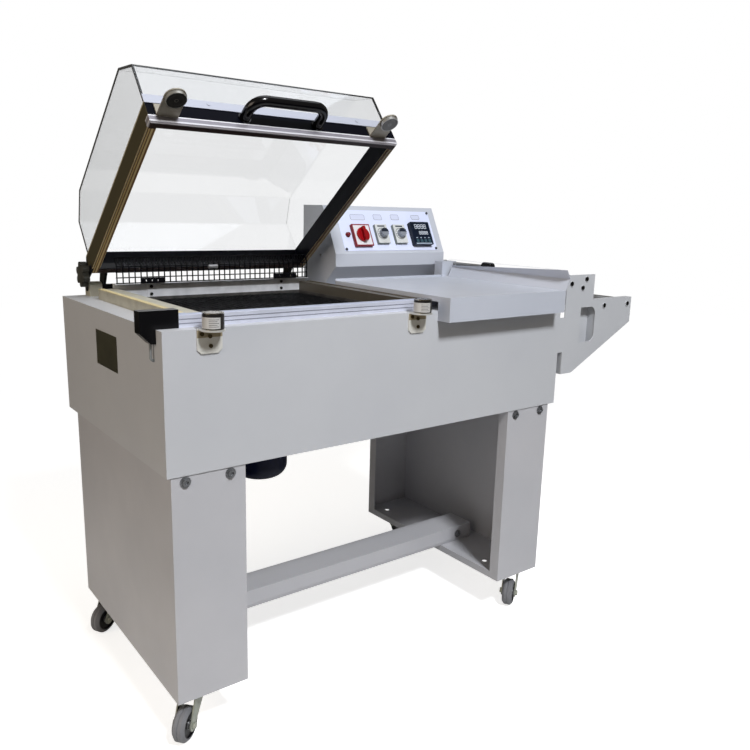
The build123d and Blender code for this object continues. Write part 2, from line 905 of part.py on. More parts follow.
def chamber_grid():
    """A grille of crossed wires that carries the pack over the fan."""
    gap = tub_wall + cover_gap
    x = (chamber_left + gap, bar_right - gap)
    y = (deck_front_edge + gap, baffle_y - gap)
    low = (grid_height, grid_height + grid_wire)
    high = (low[1], low[1] + grid_wire)
    wires = []
    for index in range(grid_wires_across):
        start = x[0] + (x[1] - x[0] - grid_wire) * index / (grid_wires_across - 1)
        wires.append(block((start, start + grid_wire), y, low))
    for index in range(grid_wires_along):
        start = y[0] + (y[1] - y[0] - grid_wire) * index / (grid_wires_along - 1)
        wires.append(block(x, (start, start + grid_wire), high))
    return group(wires)


def heater_elements():
    """Two hairpin heating tubes that leave through collars on the tub's rear wall."""
    rear = baffle_y - tub_wall
    front = deck_front_edge + tub_wall + heater_front_gap
    tubes = []
    for left in (chamber_left + heater_inset, bar_right - heater_inset - heater_loop):
        right = left + heater_loop
        points = [(left, rear, heater_height), (left, front, heater_height),
                  (right, front, heater_height), (right, rear, heater_height)]
        path = FilletPolyline(*points, radius=heater_loop / 2 - heater_radius / 2)
        start = Plane(origin=points[0], z_dir=(0, -1, 0))
        tube = sweep(start * Circle(heater_radius), path=path)
        for x in (left, right):
            tube += rod((x, rear - heater_collar, heater_height), (x, rear, heater_height),
                        heater_collar_radius)
        tubes.append(tube)
    return group(tubes)


def fan_motor():
    """A round motor under the tub: flange, body with a rounded bottom edge, and its shaft."""
    centre = (motor_x, motor_centre_y)
    top = tub_bottom - motor_flange
    body = rod((*centre, motor_bottom), (*centre, top), motor_radius)
    body = fillet(body.edges().filter_by(GeomType.CIRCLE).group_by(Axis.Z)[0], motor_round)
    flange = rod((*centre, top), (*centre, tub_bottom), motor_flange_radius)
    shaft = rod((*centre, tub_bottom), (*centre, tub_bottom + shaft_rise), shaft_radius)
    return body + flange + shaft


def fan_impeller():
    """A centrifugal fan wheel: a back plate, a bored hub and a ring of blades."""
    centre = (motor_x, motor_centre_y)
    low = tub_bottom + impeller_lift
    plate_top = low + impeller_plate
    fan = rod((*centre, low), (*centre, plate_top), impeller_radius)
    hub_top = low + impeller_height
    fan += rod((*centre, low), (*centre, hub_top), impeller_hub_radius)
    for index in range(impeller_blades):
        blade = block((impeller_radius - impeller_blade_depth, impeller_radius),
                      (-impeller_blade / 2, impeller_blade / 2), (plate_top, hub_top))
        fan += Pos(*centre, 0) * Rot(0, 0, 360 * index / impeller_blades) * blade
    bore = rod((*centre, low - overrun), (*centre, hub_top + overrun), shaft_radius + axle_bore_clearance)
    return fan - bore


def baffle_span():
    """The baffle's left and right ends."""
    return chamber_left - baffle_left_overlap, bar_right + baffle_right_overlap


def baffle_seam_places():
    """The x of the seams between the baffle's lapped sheets."""
    left, right = baffle_span()
    return [left + (right - left) * share for share in baffle_seam_shares]


def rear_baffle():
    """The plain steel plate behind the chamber, its top flange forward, faced by two lapped sheets."""
    left, right = baffle_span()
    top = table_height + baffle_rise
    flange_y = (baffle_y + baffle_sheet - baffle_flange, baffle_y + baffle_sheet)
    baffle = block((left, right), (baffle_y, baffle_y + baffle_sheet), (table_height, top))
    baffle += block((left, right), flange_y, (top - baffle_sheet, top))
    seams = baffle_seam_places()
    for span in ((seams[0], seams[1] - baffle_seam_gap), (seams[1], right)):
        baffle += block(span, (baffle_y - baffle_sheet, baffle_y), (table_height, top - baffle_sheet))
    for x, z in baffle_screw_places():
        start = (x, baffle_y - baffle_sheet - overrun, z)
        baffle -= rod(start, (x, baffle_y + baffle_sheet + overrun, z), screw_radius + screw_hole_clearance)
    return baffle


def baffle_screw_places():
    """(x, z) of the screws through the baffle's lapped sheets."""
    return [(seam + baffle_screw_inset, table_height + rise)
            for seam in baffle_seam_places() for rise in baffle_screw_rise]


def mesh_guard():
    """A wire guard on the baffle's flange that leans back at its top, with its plates and spring."""
    foot = table_height + baffle_rise
    front = baffle_y + baffle_sheet - baffle_flange
    back = front + mesh_wire
    bend = foot + mesh_upright
    path = [(front, foot), (front, bend), (front + mesh_lean_back, bend + mesh_lean_up)]
    outline = folded(path[::-1], mesh_wire)
    shapes = []
    baffle_left, baffle_right = baffle_span()
    left = baffle_left + mesh_inset
    right = baffle_right - mesh_inset
    for index in range(mesh_columns):
        x = left + (right - left - mesh_wire) * index / (mesh_columns - 1)
        shapes.append(slab(side_plane, outline, x, x + mesh_wire))
    for index in range(mesh_rows):
        z = foot + index * mesh_row_pitch
        shapes.append(block((left, right), (back, back + mesh_wire), (z, z + mesh_wire)))
    lean = Vector(0, mesh_lean_back, mesh_lean_up).normalized()
    tip = Plane(origin=(left, front + mesh_lean_back, bend + mesh_lean_up), x_dir=(1, 0, 0),
                z_dir=(0, -lean.Z, lean.Y))
    bar = Box(right - left, mesh_wire, mesh_wire, align=(Align.MIN, Align.MAX, Align.MIN))
    shapes.append(tip * bar)
    for start_share, length in zip(mesh_plate_shares, mesh_plate_lengths):
        start = baffle_left + (baffle_right - baffle_left) * start_share
        plate_y = (front - mesh_plate_thickness, front)
        plate = block((start, start + length), plate_y, (foot, foot + mesh_plate_height))
        for share in mesh_plate_hole_shares:
            x = start + length * share
            z = foot + mesh_plate_height / 2
            plate -= rod((x, front - mesh_plate_thickness - overrun, z), (x, front + overrun, z),
                         mesh_plate_hole_radius)
        shapes.append(plate)
    spring_x = baffle_left + (baffle_right - baffle_left) * mesh_spring_share
    spring_y = front - mesh_spring_radius
    spring_z = foot + mesh_spring_rise
    shapes.append(rod((spring_x, spring_y, spring_z),
                      (spring_x + mesh_spring_length, spring_y, spring_z), mesh_spring_radius))
    return group(shapes)


def seal_bars():
    """The brushed front and right bars of the L."""
    front, right, left = bar_spans()
    return group([slotted_bar(front[0], front[1], True, front_strip_line()),
                  slotted_bar(right[0], right[1], False, side_strip_lines()[1])])


def left_rest_bar():
    """The bar that the lid's left side rests on."""
    left = bar_spans()[2]
    return slotted_bar(left[0], left[1], False, side_strip_lines()[0])


def seal_strips():
    """The strips in the three bars' slots, under the lid's seal."""
    front, right, left = bar_spans()
    return group([strip_on(front[0], front[1], True, front_strip_line()),
                  strip_on(right[0], right[1], False, side_strip_lines()[1]),
                  strip_on(left[0], left[1], False, side_strip_lines()[0])])


def front_strip_line():
    """The y of the front strip's middle, under the middle of the lid's front rail."""
    return lid_front + lid_bar / 2


def side_strip_lines():
    """The x of the left and right strips' middles, under the middles of the lid's side rails."""
    return lid_left + lid_bar / 2, lid_right - lid_bar / 2


def corner_cover():
    """A black box over the front bar's left end, open towards the bar."""
    right = cover_left + cover_length
    y = (bar_front, bar_front + cover_depth)
    outline = [(cover_left, cover_bottom + cover_chamfer), (cover_left + cover_chamfer, cover_bottom),
               (right, cover_bottom), (right, cover_top), (cover_left, cover_top)]
    outer = front_slab(outline, y[0], y[1])
    hollow = block((cover_left + cover_chamfer, right + overrun), (y[0] + cover_wall, y[1] - cover_wall),
                   (cover_bottom + cover_wall, cover_top - cover_wall))
    return outer - hollow


def corner_cable():
    """The short lead from under the corner cover into the left wall."""
    y = bar_front + cover_depth / 2
    low = cover_bottom - lead_drop
    points = [(-lead_out, y, cover_bottom), (-lead_out, y, low), (lead_depth, y, low)]
    path = FilletPolyline(*points, radius=lead_bend)
    start = Plane(origin=points[0], z_dir=(0, 0, -1))
    return sweep(start * Circle(lead_radius), path=path)


def magnets():
    """Round electromagnets: a pot with a ring groove on its top, on a small stand."""
    shapes = []
    for x in magnet_positions:
        centre = (x, magnet_centre_y)
        low = bracket_top + magnet_stand
        pot = rod((*centre, low), (*centre, magnet_top), magnet_radius)
        stand_radius = magnet_radius - magnet_pot_wall
        pot += rod((*centre, bracket_top), (*centre, low), stand_radius)
        ring_z = (magnet_top - magnet_groove, magnet_top + overrun)
        groove = rod((*centre, ring_z[0]), (*centre, ring_z[1]), stand_radius)
        groove -= rod((*centre, ring_z[0]), (*centre, ring_z[1]), stand_radius - magnet_pot_wall)
        shapes.append(pot - groove)
    return group(shapes)


def magnet_brackets():
    """Angle brackets on the front sheet, each with a rounded shelf."""
    shapes = []
    for x in magnet_positions:
        half = bracket_width / 2
        low = bracket_top - bracket_height
        outline = [
            (x - half, bracket_top), (x - half, low + bracket_chamfer), (x - half + bracket_chamfer, low),
            (x + half - bracket_chamfer, low), (x + half, low + bracket_chamfer), (x + half, bracket_top),
        ]
        bracket = front_slab(outline, -bracket_sheet, 0)
        shelf_z = (bracket_top - bracket_sheet, bracket_top)
        shelf_x = (x - bracket_shelf_radius, x + bracket_shelf_radius)
        bracket += block(shelf_x, (magnet_centre_y, 0), shelf_z)
        shelf = rod((x, magnet_centre_y, shelf_z[0]), (x, magnet_centre_y, shelf_z[1]), bracket_shelf_radius)
        bracket += shelf & block(shelf_x, (magnet_centre_y - bracket_shelf_radius, 0), shelf_z)
        for offset, drop in bracket_screws:
            place = (x + offset, bracket_top - drop)
            bracket -= rod((place[0], -bracket_sheet - overrun, place[1]), (place[0], overrun, place[1]),
                           screw_radius + screw_hole_clearance)
        shapes.append(bracket)
    return group(shapes)


def screw(plane, depth):
    """A round-headed screw with a cross slot, its head on the plane."""
    head = plane * Cylinder(screw_head_radius, screw_head_height, align=standing)
    slot = Box(screw_head_radius, screw_slot_width, screw_head_height)
    head -= plane.offset(screw_head_height) * (slot + Rot(0, 0, 90) * slot)
    shank = plane.offset(-depth) * Cylinder(screw_radius, depth, align=standing)
    return head + shank


def panel_plane(height=0):
    """The control panel's plane: x from the panel's left edge, y up the slant from its foot."""
    rise = Vector(0, box_nose_depth - box_top_depth, box_top - box_nose_top)
    foot = Vector(box_left + panel_margin_left, body_depth - box_nose_depth, box_nose_top)
    plane = Plane(origin=foot, x_dir=(1, 0, 0), z_dir=(0, -rise.Z, rise.Y))
    return plane.offset(height)


def on_panel(x, y, height):
    """A plane on the panel at (x, y), at a height above the box's slanted face."""
    base = panel_plane(height)
    return Plane(origin=base.from_local_coords((x, y, 0)), x_dir=base.x_dir, z_dir=base.z_dir)


def small_screws():
    """The screws of the magnet brackets, the baffle, the panel and the control box."""
    screws = []
    for x in magnet_positions:
        for offset, drop in bracket_screws:
            plane = Plane(origin=(x + offset, -bracket_sheet, bracket_top - drop), x_dir=(1, 0, 0),
                          z_dir=(0, -1, 0))
            screws.append(screw(plane, bracket_sheet))
    for x, z in baffle_screw_places():
        plane = Plane(origin=(x, baffle_y - baffle_sheet, z), x_dir=(1, 0, 0), z_dir=(0, -1, 0))
        screws.append(screw(plane, baffle_sheet))
    for x, y in panel_screw_places():
        screws.append(screw(on_panel(x, y, panel_sheet), panel_sheet))
    side = Plane(origin=(box_left, box_screw_depth, box_screw_height), x_dir=(0, 1, 0), z_dir=(-1, 0, 0))
    screws.append(screw(side, box_sheet))
    return group(screws)


def panel_screw_places():
    """(x, y) of the panel plate's corner screws."""
    xs = (panel_screw_inset, panel_width - panel_screw_inset)
    ys = (panel_base + panel_screw_inset, panel_base + panel_height - panel_screw_inset)
    return [(x, y) for x in xs for y in ys]


def nameplate():
    """A bare plate on the left wall with four rivets."""
    y = (plate_front, plate_front + plate_length)
    z = (plate_bottom, plate_bottom + plate_height)
    plate = block((-plate_thickness, 0), y, z)
    for row in (z[0] + rivet_inset, z[1] - rivet_inset):
        for column in (y[0] + rivet_inset, y[1] - rivet_inset):
            plate += rod((-plate_thickness - rivet_height, column, row), (0, column, row), rivet_radius)
    return plate


def control_box():
    """A sheet housing with a slanted face, open towards the deck."""
    outline = [
        (body_depth, box_top), (body_depth - box_top_depth, box_top),
        (body_depth - box_nose_depth, box_nose_top), (body_depth - box_nose_depth, box_nose_bottom),
        (body_depth - box_foot_depth, table_height), (body_depth, table_height),
    ]
    box = slab(side_plane, outline, box_left, box_right)
    inner_face = offset(make_face(Polyline(*outline, close=True)), amount=-box_sheet, kind=Kind.INTERSECTION)
    inner_x = (box_left + box_sheet, box_right - box_sheet)
    box -= extrude(side_plane.offset(inner_x[0]) * inner_face, amount=inner_x[1] - inner_x[0],
                   dir=side_plane.z_dir)
    foot_y = (body_depth - box_foot_depth + box_foot_lip, body_depth - box_sheet)
    box -= block(inner_x, foot_y, (table_height - overrun, table_height + box_sheet + overrun))
    radius = screw_radius + screw_hole_clearance
    for x, y in panel_screw_places():
        start = on_panel(x, y, -box_sheet - overrun).origin
        box -= rod(start, on_panel(x, y, overrun).origin, radius)
    return box - rod((box_left - overrun, box_screw_depth, box_screw_height),
                     (box_left + box_sheet + overrun, box_screw_depth, box_screw_height), radius)


def panel_plate():
    """The thin overlay on the slanted face."""
    plane = on_panel(0, panel_base, 0)
    plate = plane * Box(panel_width, panel_height, panel_sheet, align=from_corner)
    for x, y in panel_screw_places():
        start = on_panel(x, y, -overrun).origin
        plate -= rod(start, on_panel(x, y, panel_sheet + overrun).origin, screw_radius + screw_hole_clearance)
    return plate


def control_line():
    """Height up the slant of the middle of the lamp, the switch and the dials."""
    return panel_base + controls_line


def spindle_places():
    """(x, y) of the main switch and of the two dials on the panel."""
    places = [(panel_width * main_plate_share, control_line() - main_plate_drop)]
    for share in dial_plate_shares:
        places.append((panel_width * share, control_line()))
    return places


def switch_plates():
    """The three raised plates, bored for their knobs' spindles."""
    sizes = [(main_plate_width, main_plate_height)]
    sizes += [(dial_plate_width, dial_plate_height)] * len(dial_plate_shares)
    plates = []
    for (x, y), (width, height) in zip(spindle_places(), sizes):
        plane = on_panel(x, y, panel_sheet)
        plate = plane * Box(width, height, plate_rise, align=standing)
        plate -= plane * Cylinder(spindle_radius + axle_bore_clearance, plate_rise + overrun,
                                  align=standing)
        plates.append(plate)
    return group(plates)


def spindle(plane):
    """A knob's spindle, down from the knob's underside into its plate."""
    length = plate_rise + knob_gap - spindle_end_gap
    return plane.offset(-length) * Cylinder(spindle_radius, length, align=standing)


def knob_plane(index):
    """The plane of a knob's underside."""
    x, y = spindle_places()[index]
    return on_panel(x, y, panel_sheet + plate_rise + knob_gap)


def main_switch_knob():
    """A round switch knob with a straight grip across it."""
    plane = knob_plane(0)
    knob = plane * Cylinder(main_knob_radius, main_knob_height - main_knob_grip_height,
                            align=standing)
    grip = Box(main_knob_grip_width, 2 * main_knob_radius, main_knob_height,
               align=standing)
    grip &= Cylinder(main_knob_radius, main_knob_height, align=standing)
    return knob + plane * grip + spindle(plane)


def timer_knob(index):
    """A fluted dial knob with a pointer ridge."""
    plane = knob_plane(index)
    knob = Cylinder(dial_radius, dial_height, align=standing)
    for turn in range(dial_flutes):
        angle = radians(360 * (turn + 0.5) / dial_flutes)
        flute = (dial_radius * cos(angle), dial_radius * sin(angle))
        knob -= rod((*flute, -overrun), (*flute, dial_height + overrun), dial_flute_radius)
    return plane * knob + spindle(plane)


def temperature_controller():
    """A square instrument with two display recesses and four key wells."""
    base = on_panel(meter_left, meter_bottom, panel_sheet)
    body = Box(meter_size, meter_size, meter_rise, align=from_corner)
    body = fillet(body.edges().filter_by(Axis.Z), meter_round)
    window_width = meter_size - 2 * meter_window_inset
    for row in range(meter_window_count):
        low = meter_size - meter_window_inset - meter_window_height - row * meter_window_pitch
        body -= Pos(meter_window_inset, low, meter_rise - meter_window_recess) * Box(
            window_width, meter_window_height, meter_window_recess + overrun,
            align=from_corner)
    for index in range(key_count):
        x = key_place(index)
        well = key_size + 2 * key_gap
        body -= Pos(x - key_gap, key_row - key_gap, key_floor) * Box(
            well, well, meter_rise, align=from_corner)
    return base * body


def key_place(index):
    """The left edge of a key in the instrument's frame."""
    pitch = (meter_size - 2 * meter_window_inset) / key_count
    return meter_window_inset + pitch * index + (pitch - key_size) / 2


def meter_key(index):
    """One key in its well, drawn at rest."""
    base = on_panel(meter_left, meter_bottom, panel_sheet)
    low = key_floor + key_travel + key_gap
    key = Pos(key_place(index), key_row, low) * Box(
        key_size, key_size, meter_rise + key_proud - low, align=from_corner)
    return base * key


def pilot_lamp():
    """A domed lamp in a bezel."""
    outer_radius = lamp_radius + lamp_bezel
    x = panel_width * main_plate_share - main_plate_width / 2 - lamp_gap - outer_radius
    plane = on_panel(x, control_line(), panel_sheet)
    bezel = plane * Cylinder(outer_radius, lamp_bezel, align=standing)
    lens = plane * Cylinder(lamp_radius, lamp_height, align=standing)
    top_edge = lens.edges().filter_by(GeomType.CIRCLE).sort_by(Axis((0, 0, 0), plane.z_dir))[-1]
    return bezel + fillet(top_edge, lamp_round)


def tray():
    """The work tray: top sheet, apron, rims, a bent side guide, two rails and the lock rod's block."""
    right = tray_right
    back = tray_back
    under = tray_top - tray_sheet
    x = (tray_left, right)
    result = block(x, (tray_front, back), (under, tray_top))
    result += block(x, (tray_front, tray_front + tray_sheet), (tray_top - tray_apron, tray_top))
    apron_y = (tray_front, tray_front + tray_side_apron_depth)
    left_x = (tray_left, tray_left + tray_sheet)
    result += block(left_x, apron_y, (tray_top - tray_apron, tray_top))
    result += block(left_x, (tray_front, back), (tray_top - tray_rim, tray_top))
    right_x = (right - tray_sheet, right)
    result += block(right_x, apron_y, (tray_top - tray_apron, tray_top))
    result += block(right_x, (tray_front, back), (tray_top - tray_rim, tray_top))
    result += block(x, (back - tray_sheet, back), (under, tray_top + tray_back_lip))
    guide = folded([
        (right, under), (right, tray_top), (right + guide_out, tray_top + guide_bend_rise),
        (right, tray_top + guide_rise),
    ], tray_sheet)
    guide_end = back - guide_end_gap
    side = front_slab(guide, tray_front, guide_end)
    above = tray_top + guide_rise + overrun
    taper = [(tray_front, tray_top + guide_rise), (guide_end + overrun, tray_top + guide_rear_rise),
             (guide_end + overrun, above), (tray_front, above)]
    result += side - slab(side_plane, taper, right - overrun, right + guide_out + overrun)
    rail_y = (deck_front_edge, back - rail_end_gap)
    for share in rail_shares:
        rail_x = (tray_left + tray_length * share, tray_left + tray_length * share + rail_width)
        rail = block(rail_x, rail_y, (table_height, under))
        hollow_x = (rail_x[0] + tray_sheet, rail_x[1] - tray_sheet)
        rail -= block(hollow_x, (rail_y[0] - overrun, rail_y[1] + overrun),
                      (table_height + tray_sheet, under))
        result += rail
    return result + lock_block()


def lock_line():
    """The (x, z) of the lock rod."""
    return tray_right + lock_out, tray_top + lock_rise


def lock_block():
    """The block at the tray's rear corner that the lock rod turns in."""
    rod_x, rod_z = lock_line()
    right = rod_x + lock_block_margin
    y = (tray_back - lock_block_lap, tray_back - lock_block_lap + lock_block_depth)
    result = block((right - lock_block_length, right), y, (tray_top, tray_top + lock_block_height))
    bore = lock_rod_radius + axle_bore_clearance
    return result - rod((rod_x, y[0] - overrun, rod_z), (rod_x, y[1] + overrun, rod_z), bore)


def tray_lock_knob():
    """The lock rod: a black knob at its front end and a collar behind the block."""
    x, z = lock_line()
    end = tray_back - lock_block_lap + lock_block_depth + lock_collar_gap + lock_collar
    start = end - lock_rod_length
    shape = rod((x, start, z), (x, end, z), lock_rod_radius)
    shape += rod((x, end - lock_collar, z), (x, end, z), lock_collar_radius)
    knob = rod((x, start - lock_knob_length, z), (x, start, z), lock_knob_radius)
    knob = fillet(knob.edges().filter_by(GeomType.CIRCLE), lock_knob_round)
    return shape + knob


def film_rack_rear_plate():
    """The rack's rear plate, with a flange on the cabinet's right wall."""
    back = rack_depth
    y = (back - sheet, back)
    plate = front_slab(wing_outline(body_length), y[0], y[1])
    toe_edge = plate.edges().filter_by(Axis.Y).group_by(Axis.Z)[0].sort_by(Axis.X)[-1]
    plate = fillet(toe_edge, wing_toe_radius)
    plate -= block((body_length - overrun, wing_left), (y[0] - overrun, y[1] + overrun),
                   (table_height, wing_post_top + overrun))
    for cutter in rack_holes(y[0], y[1]):
        plate -= cutter
    flange = block((body_length, body_length + sheet), (back - wing_flange, back),
                   (wing_bottom, table_height))
    return plate + flange


def film_rods():
    """Three fixed rods between the rack plates, with heads outside and collars inside."""
    rods = []
    for x, z in rod_places():
        shape = rod((x, -rod_head, z), (x, rack_depth + rod_head, z), rod_radius)
        for start, end in ((-rod_head, 0), (sheet, sheet + rod_head),
                           (rack_depth - sheet - rod_head, rack_depth - sheet),
                           (rack_depth, rack_depth + rod_head)):
            shape += rod((x, start, z), (x, end, z), rod_head_radius)
        rods.append(shape)
    return group(rods)


def film_roller(index):
    """A hollow roller with closed ends and axle stubs that turn in the rack plates."""
    x = body_length + roller_offsets[index]
    y = (sheet + roller_end_gap, rack_depth - sheet - roller_end_gap)
    roller = rod((x, y[0], roller_height), (x, y[1], roller_height), roller_radius)
    roller -= rod((x, y[0] + roller_cap, roller_height), (x, y[1] - roller_cap, roller_height),
                  roller_bore_radius)
    front_cap = (-axle_cap_gap - axle_cap, -axle_cap_gap)
    rear_cap = (rack_depth + axle_cap_gap, rack_depth + axle_cap_gap + axle_cap)
    for start, end in ((front_cap[0], y[0]), (y[1], rear_cap[1])):
        roller += rod((x, start, roller_height), (x, end, roller_height), axle_radius)
    for start, end in (front_cap, rear_cap):
        roller += rod((x, start, roller_height), (x, end, roller_height), rod_head_radius)
    return roller


def hinge_spans():
    """The x spans of the two bearing blocks."""
    left = lid_left + hinge_block_inset
    right = lid_right - hinge_block_inset
    return (left, left + hinge_block_width), (right - hinge_block_width, right)


def hinge_blocks():
    """The bearing blocks of the lid's shaft on the deck."""
    blocks = []
    y = (hinge_y - hinge_block_depth / 2, hinge_y + hinge_block_depth / 2)
    for x in hinge_spans():
        shape = block(x, y, (table_height, hinge_block_top))
        upper = shape.edges().filter_by(Axis.X).group_by(Axis.Z)[-1]
        shape = chamfer(upper, hinge_block_chamfer)
        shape -= rod((x[0] - overrun, hinge_y, hinge_z), (x[1] + overrun, hinge_y, hinge_z),
                     hinge_shaft_radius + hinge_bore_clearance)
        blocks.append(shape)
    return group(blocks)


def cable_gland():
    """The strain relief for the supply lead in the back wall."""
    x = body_length / 2 + gland_setback
    z = body_bottom + vent_above_floor_pan
    start = (x, body_depth - sheet - gland_thread, z)
    body = rod(start, (x, body_depth + gland_nut, z), gland_hole_radius - gland_clearance)
    for face, way in ((body_depth, 1), (body_depth - sheet, -1)):
        plane = Plane(origin=(x, face, z), x_dir=(1, 0, 0), z_dir=(0, way, 0))
        body += extrude(plane * RegularPolygon(gland_nut_radius, 6), amount=gland_nut)
    cap_end = body_depth + gland_nut + gland_cap
    cap = rod((x, body_depth + gland_nut, z), (x, cap_end, z), gland_hole_radius)
    body += fillet(cap.edges().filter_by(GeomType.CIRCLE).sort_by(Axis.Y)[-1], gland_round)
    return body - rod((x, body_depth - sheet - gland_thread - overrun, z), (x, cap_end + overrun, z),
                      gland_bore_radius)


def ring(inset, width, z):
    """A rectangular ring in the lid's footprint, a distance in from its outside."""
    x = (lid_left + inset, lid_right - inset)
    y = (lid_front + inset, lid_rear - inset)
    outer = block(x, y, z)
    return outer - block((x[0] + width, x[1] - width), (y[0] + width, y[1] - width),
                         (z[0] - overrun, z[1] + overrun))


def lid_seal():
    """The flat seal ring under the lid."""
    return ring((lid_bar - lid_seal_width) / 2, lid_seal_width, (lid_bottom, lid_metal_bottom))


def lid_frame():
    """The lid's brushed front and rear bars and the pale clamp strip along the hood's foot."""
    x = (lid_left, lid_right)
    shapes = []
    for y in ((lid_front, lid_front + lid_bar), (lid_rear - lid_bar, lid_rear)):
        shapes.append(block(x, y, (lid_metal_bottom, lid_channel_bottom)))
    strip_y = (lid_front - clamp_strip_thickness, lid_front)
    strip = block((lid_left, lid_right - hood_right_inset), strip_y,
                  (hood_bottom - clamp_strip_lap, hood_bottom + clamp_strip_height))
    for share in clamp_screw_shares:
        screw_x = lid_left + (lid_right - lid_left) * share
        screw_z = hood_bottom + clamp_strip_height / 2
        strip += rod((screw_x, strip_y[0] - clamp_screw_head, screw_z), (screw_x, strip_y[0], screw_z),
                     screw_head_radius)
    shapes.append(strip)
    return group(shapes)


def lid_channel():
    """The black box-section ring between the seal and the hood, deeper along its sides."""
    upper = ring(0, lid_bar, (lid_channel_bottom, hood_bottom))
    wall = lid_channel_wall
    side_y = (lid_front + lid_bar, lid_rear - lid_bar)
    for x in ((lid_left, lid_left + lid_bar), (lid_right - lid_bar, lid_right)):
        upper += block(x, side_y, (lid_metal_bottom, lid_channel_bottom))
    hollow = ring(wall, lid_bar - 2 * wall, (lid_channel_bottom + wall, hood_bottom - wall))
    for x in ((lid_left + wall, lid_left + lid_bar - wall), (lid_right - lid_bar + wall, lid_right - wall)):
        hollow += block(x, (side_y[0] + wall, side_y[1] - wall),
                        (lid_metal_bottom + wall, lid_channel_bottom + 2 * wall))
    return upper - hollow


def lid_hood():
    """The clear hood: sloped front and rear, flat top, closed sides, open below."""
    top = hood_bottom + hood_top_height
    knee = hood_bottom + hood_front_height
    rear = lid_rear - hood_rear_inset
    right = lid_right - hood_right_inset
    outline = [
        (lid_front, hood_bottom), (lid_front, knee), (lid_front + hood_front_slope, top),
        (rear - hood_rear_slope, top), (rear, knee), (rear, hood_bottom),
    ]
    hood = slab(side_plane, outline, lid_left, right)
    inner_face = offset(make_face(Polyline(*outline, close=True)), amount=-hood_wall, kind=Kind.INTERSECTION)
    inner_x = (lid_left + hood_wall, right - hood_wall)
    hood -= extrude(side_plane.offset(inner_x[0]) * inner_face, amount=inner_x[1] - inner_x[0],
                    dir=side_plane.z_dir)
    mouth_y = (lid_front + hood_wall, rear - hood_wall)
    return hood - block(inner_x, mouth_y, (hood_bottom - overrun, hood_bottom + hood_wall + overrun))


def lid_handle():
    """A D-shaped grip with round feet on the channel's front."""
    left = lid_left + handle_offset + handle_radius
    right = left + handle_width - 2 * handle_radius
    z = (lid_channel_bottom + hood_bottom - clamp_strip_lap) / 2
    grip_y = lid_front - handle_reach + handle_radius
    points = [(left, lid_front, z), (left, grip_y, z), (right, grip_y, z), (right, lid_front, z)]
    path = FilletPolyline(*points, radius=handle_bend)
    start = Plane(origin=points[0], z_dir=(0, -1, 0))
    handle = sweep(start * Circle(handle_radius), path=path)
    for x in (left, right):
        handle += rod((x, lid_front - handle_foot_height, z), (x, lid_front, z), handle_foot_radius)
    return handle


def armatures():
    """Two angle plates on the lid's front, each with a round pole disc under its rounded end."""
    shapes = []
    for x in magnet_positions:
        half = armature_width / 2
        z = (plate_level, plate_level + armature_sheet)
        plate = block((x - half, x + half), (magnet_centre_y, lid_front), z)
        plate += rod((x, magnet_centre_y, z[0]), (x, magnet_centre_y, z[1]), half)
        plate += block((x - half, x + half), (lid_front - armature_sheet, lid_front),
                       (z[0], z[0] + armature_leg))
        plate += rod((x, magnet_centre_y, disc_bottom), (x, magnet_centre_y, z[0]), armature_disc_radius)
        nut = Plane(origin=(x, magnet_centre_y, z[1]), x_dir=(1, 0, 0), z_dir=(0, 0, 1))
        plate += extrude(nut * RegularPolygon(armature_nut_radius, 6), amount=armature_nut_height)
        plate += rod((x, magnet_centre_y, z[1]), (x, magnet_centre_y, z[1] + armature_bolt_stand),
                     armature_bolt_radius)
        shapes.append(plate)
    return group(shapes)


def lid_hinge():
    """The shaft, the two arms from the lid's rear bar to it and the star knob's bracket."""
    spans = hinge_spans()
    arm_xs = ((spans[0][1] + hinge_arm_gap, spans[0][1] + hinge_arm_gap + hinge_arm_thickness),
              (spans[1][0] - hinge_arm_gap - hinge_arm_thickness, spans[1][0] - hinge_arm_gap))
    shape = rod((spans[0][0] - hinge_shaft_overhang, hinge_y, hinge_z),
                (spans[1][1] + hinge_shaft_overhang, hinge_y, hinge_z), hinge_shaft_radius)
    for x in arm_xs:
        shape += rod((x[0], hinge_y, hinge_z), (x[1], hinge_y, hinge_z), hinge_arm_radius)
        shape += slab(side_plane, [
            (lid_rear, lid_metal_bottom), (hinge_y, hinge_z - hinge_arm_radius),
            (hinge_y, hinge_z + hinge_arm_radius), (lid_rear, hood_bottom),
        ], x[0], x[1])
    plate_x = (lid_left, lid_left + star_plate_thickness)
    half = star_arm_height / 2
    bracket = slab(side_plane, [
        (lid_rear, lid_metal_bottom), (star_y, star_z - half), (star_y, star_z + half),
        (lid_rear, hood_bottom),
    ], plate_x[0], plate_x[1])
    bracket += rod((plate_x[0], star_y, star_z), (plate_x[1], star_y, star_z), half)
    bore = star_stem_radius + axle_bore_clearance
    bracket -= rod((plate_x[0] - overrun, star_y, star_z), (plate_x[1] + overrun, star_y, star_z), bore)
    return group([shape, bracket])


def star_knob():
    """A lobed hand knob with a stem through its bracket."""
    right = lid_left - star_gap
    left = right - star_height
    knob = rod((left, star_y, star_z), (right, star_y, star_z), star_radius - star_lobe_radius)
    for index in range(star_lobes):
        angle = radians(360 * index / star_lobes)
        reach = star_radius - star_lobe_radius
        y = star_y + reach * cos(angle)
        z = star_z + reach * sin(angle)
        knob += rod((left, y, z), (right, y, z), star_lobe_radius)
    stem_end = lid_left + star_plate_thickness + star_stem_proud
    return knob + rod((right, star_y, star_z), (stem_end, star_y, star_z), star_stem_radius)


def opened(shape):
    """The lid's parts swung open about the shaft."""
    return Pos(0, hinge_y, hinge_z) * Rot(-lid_open_angle, 0, 0) * Pos(0, -hinge_y, -hinge_z) * shape


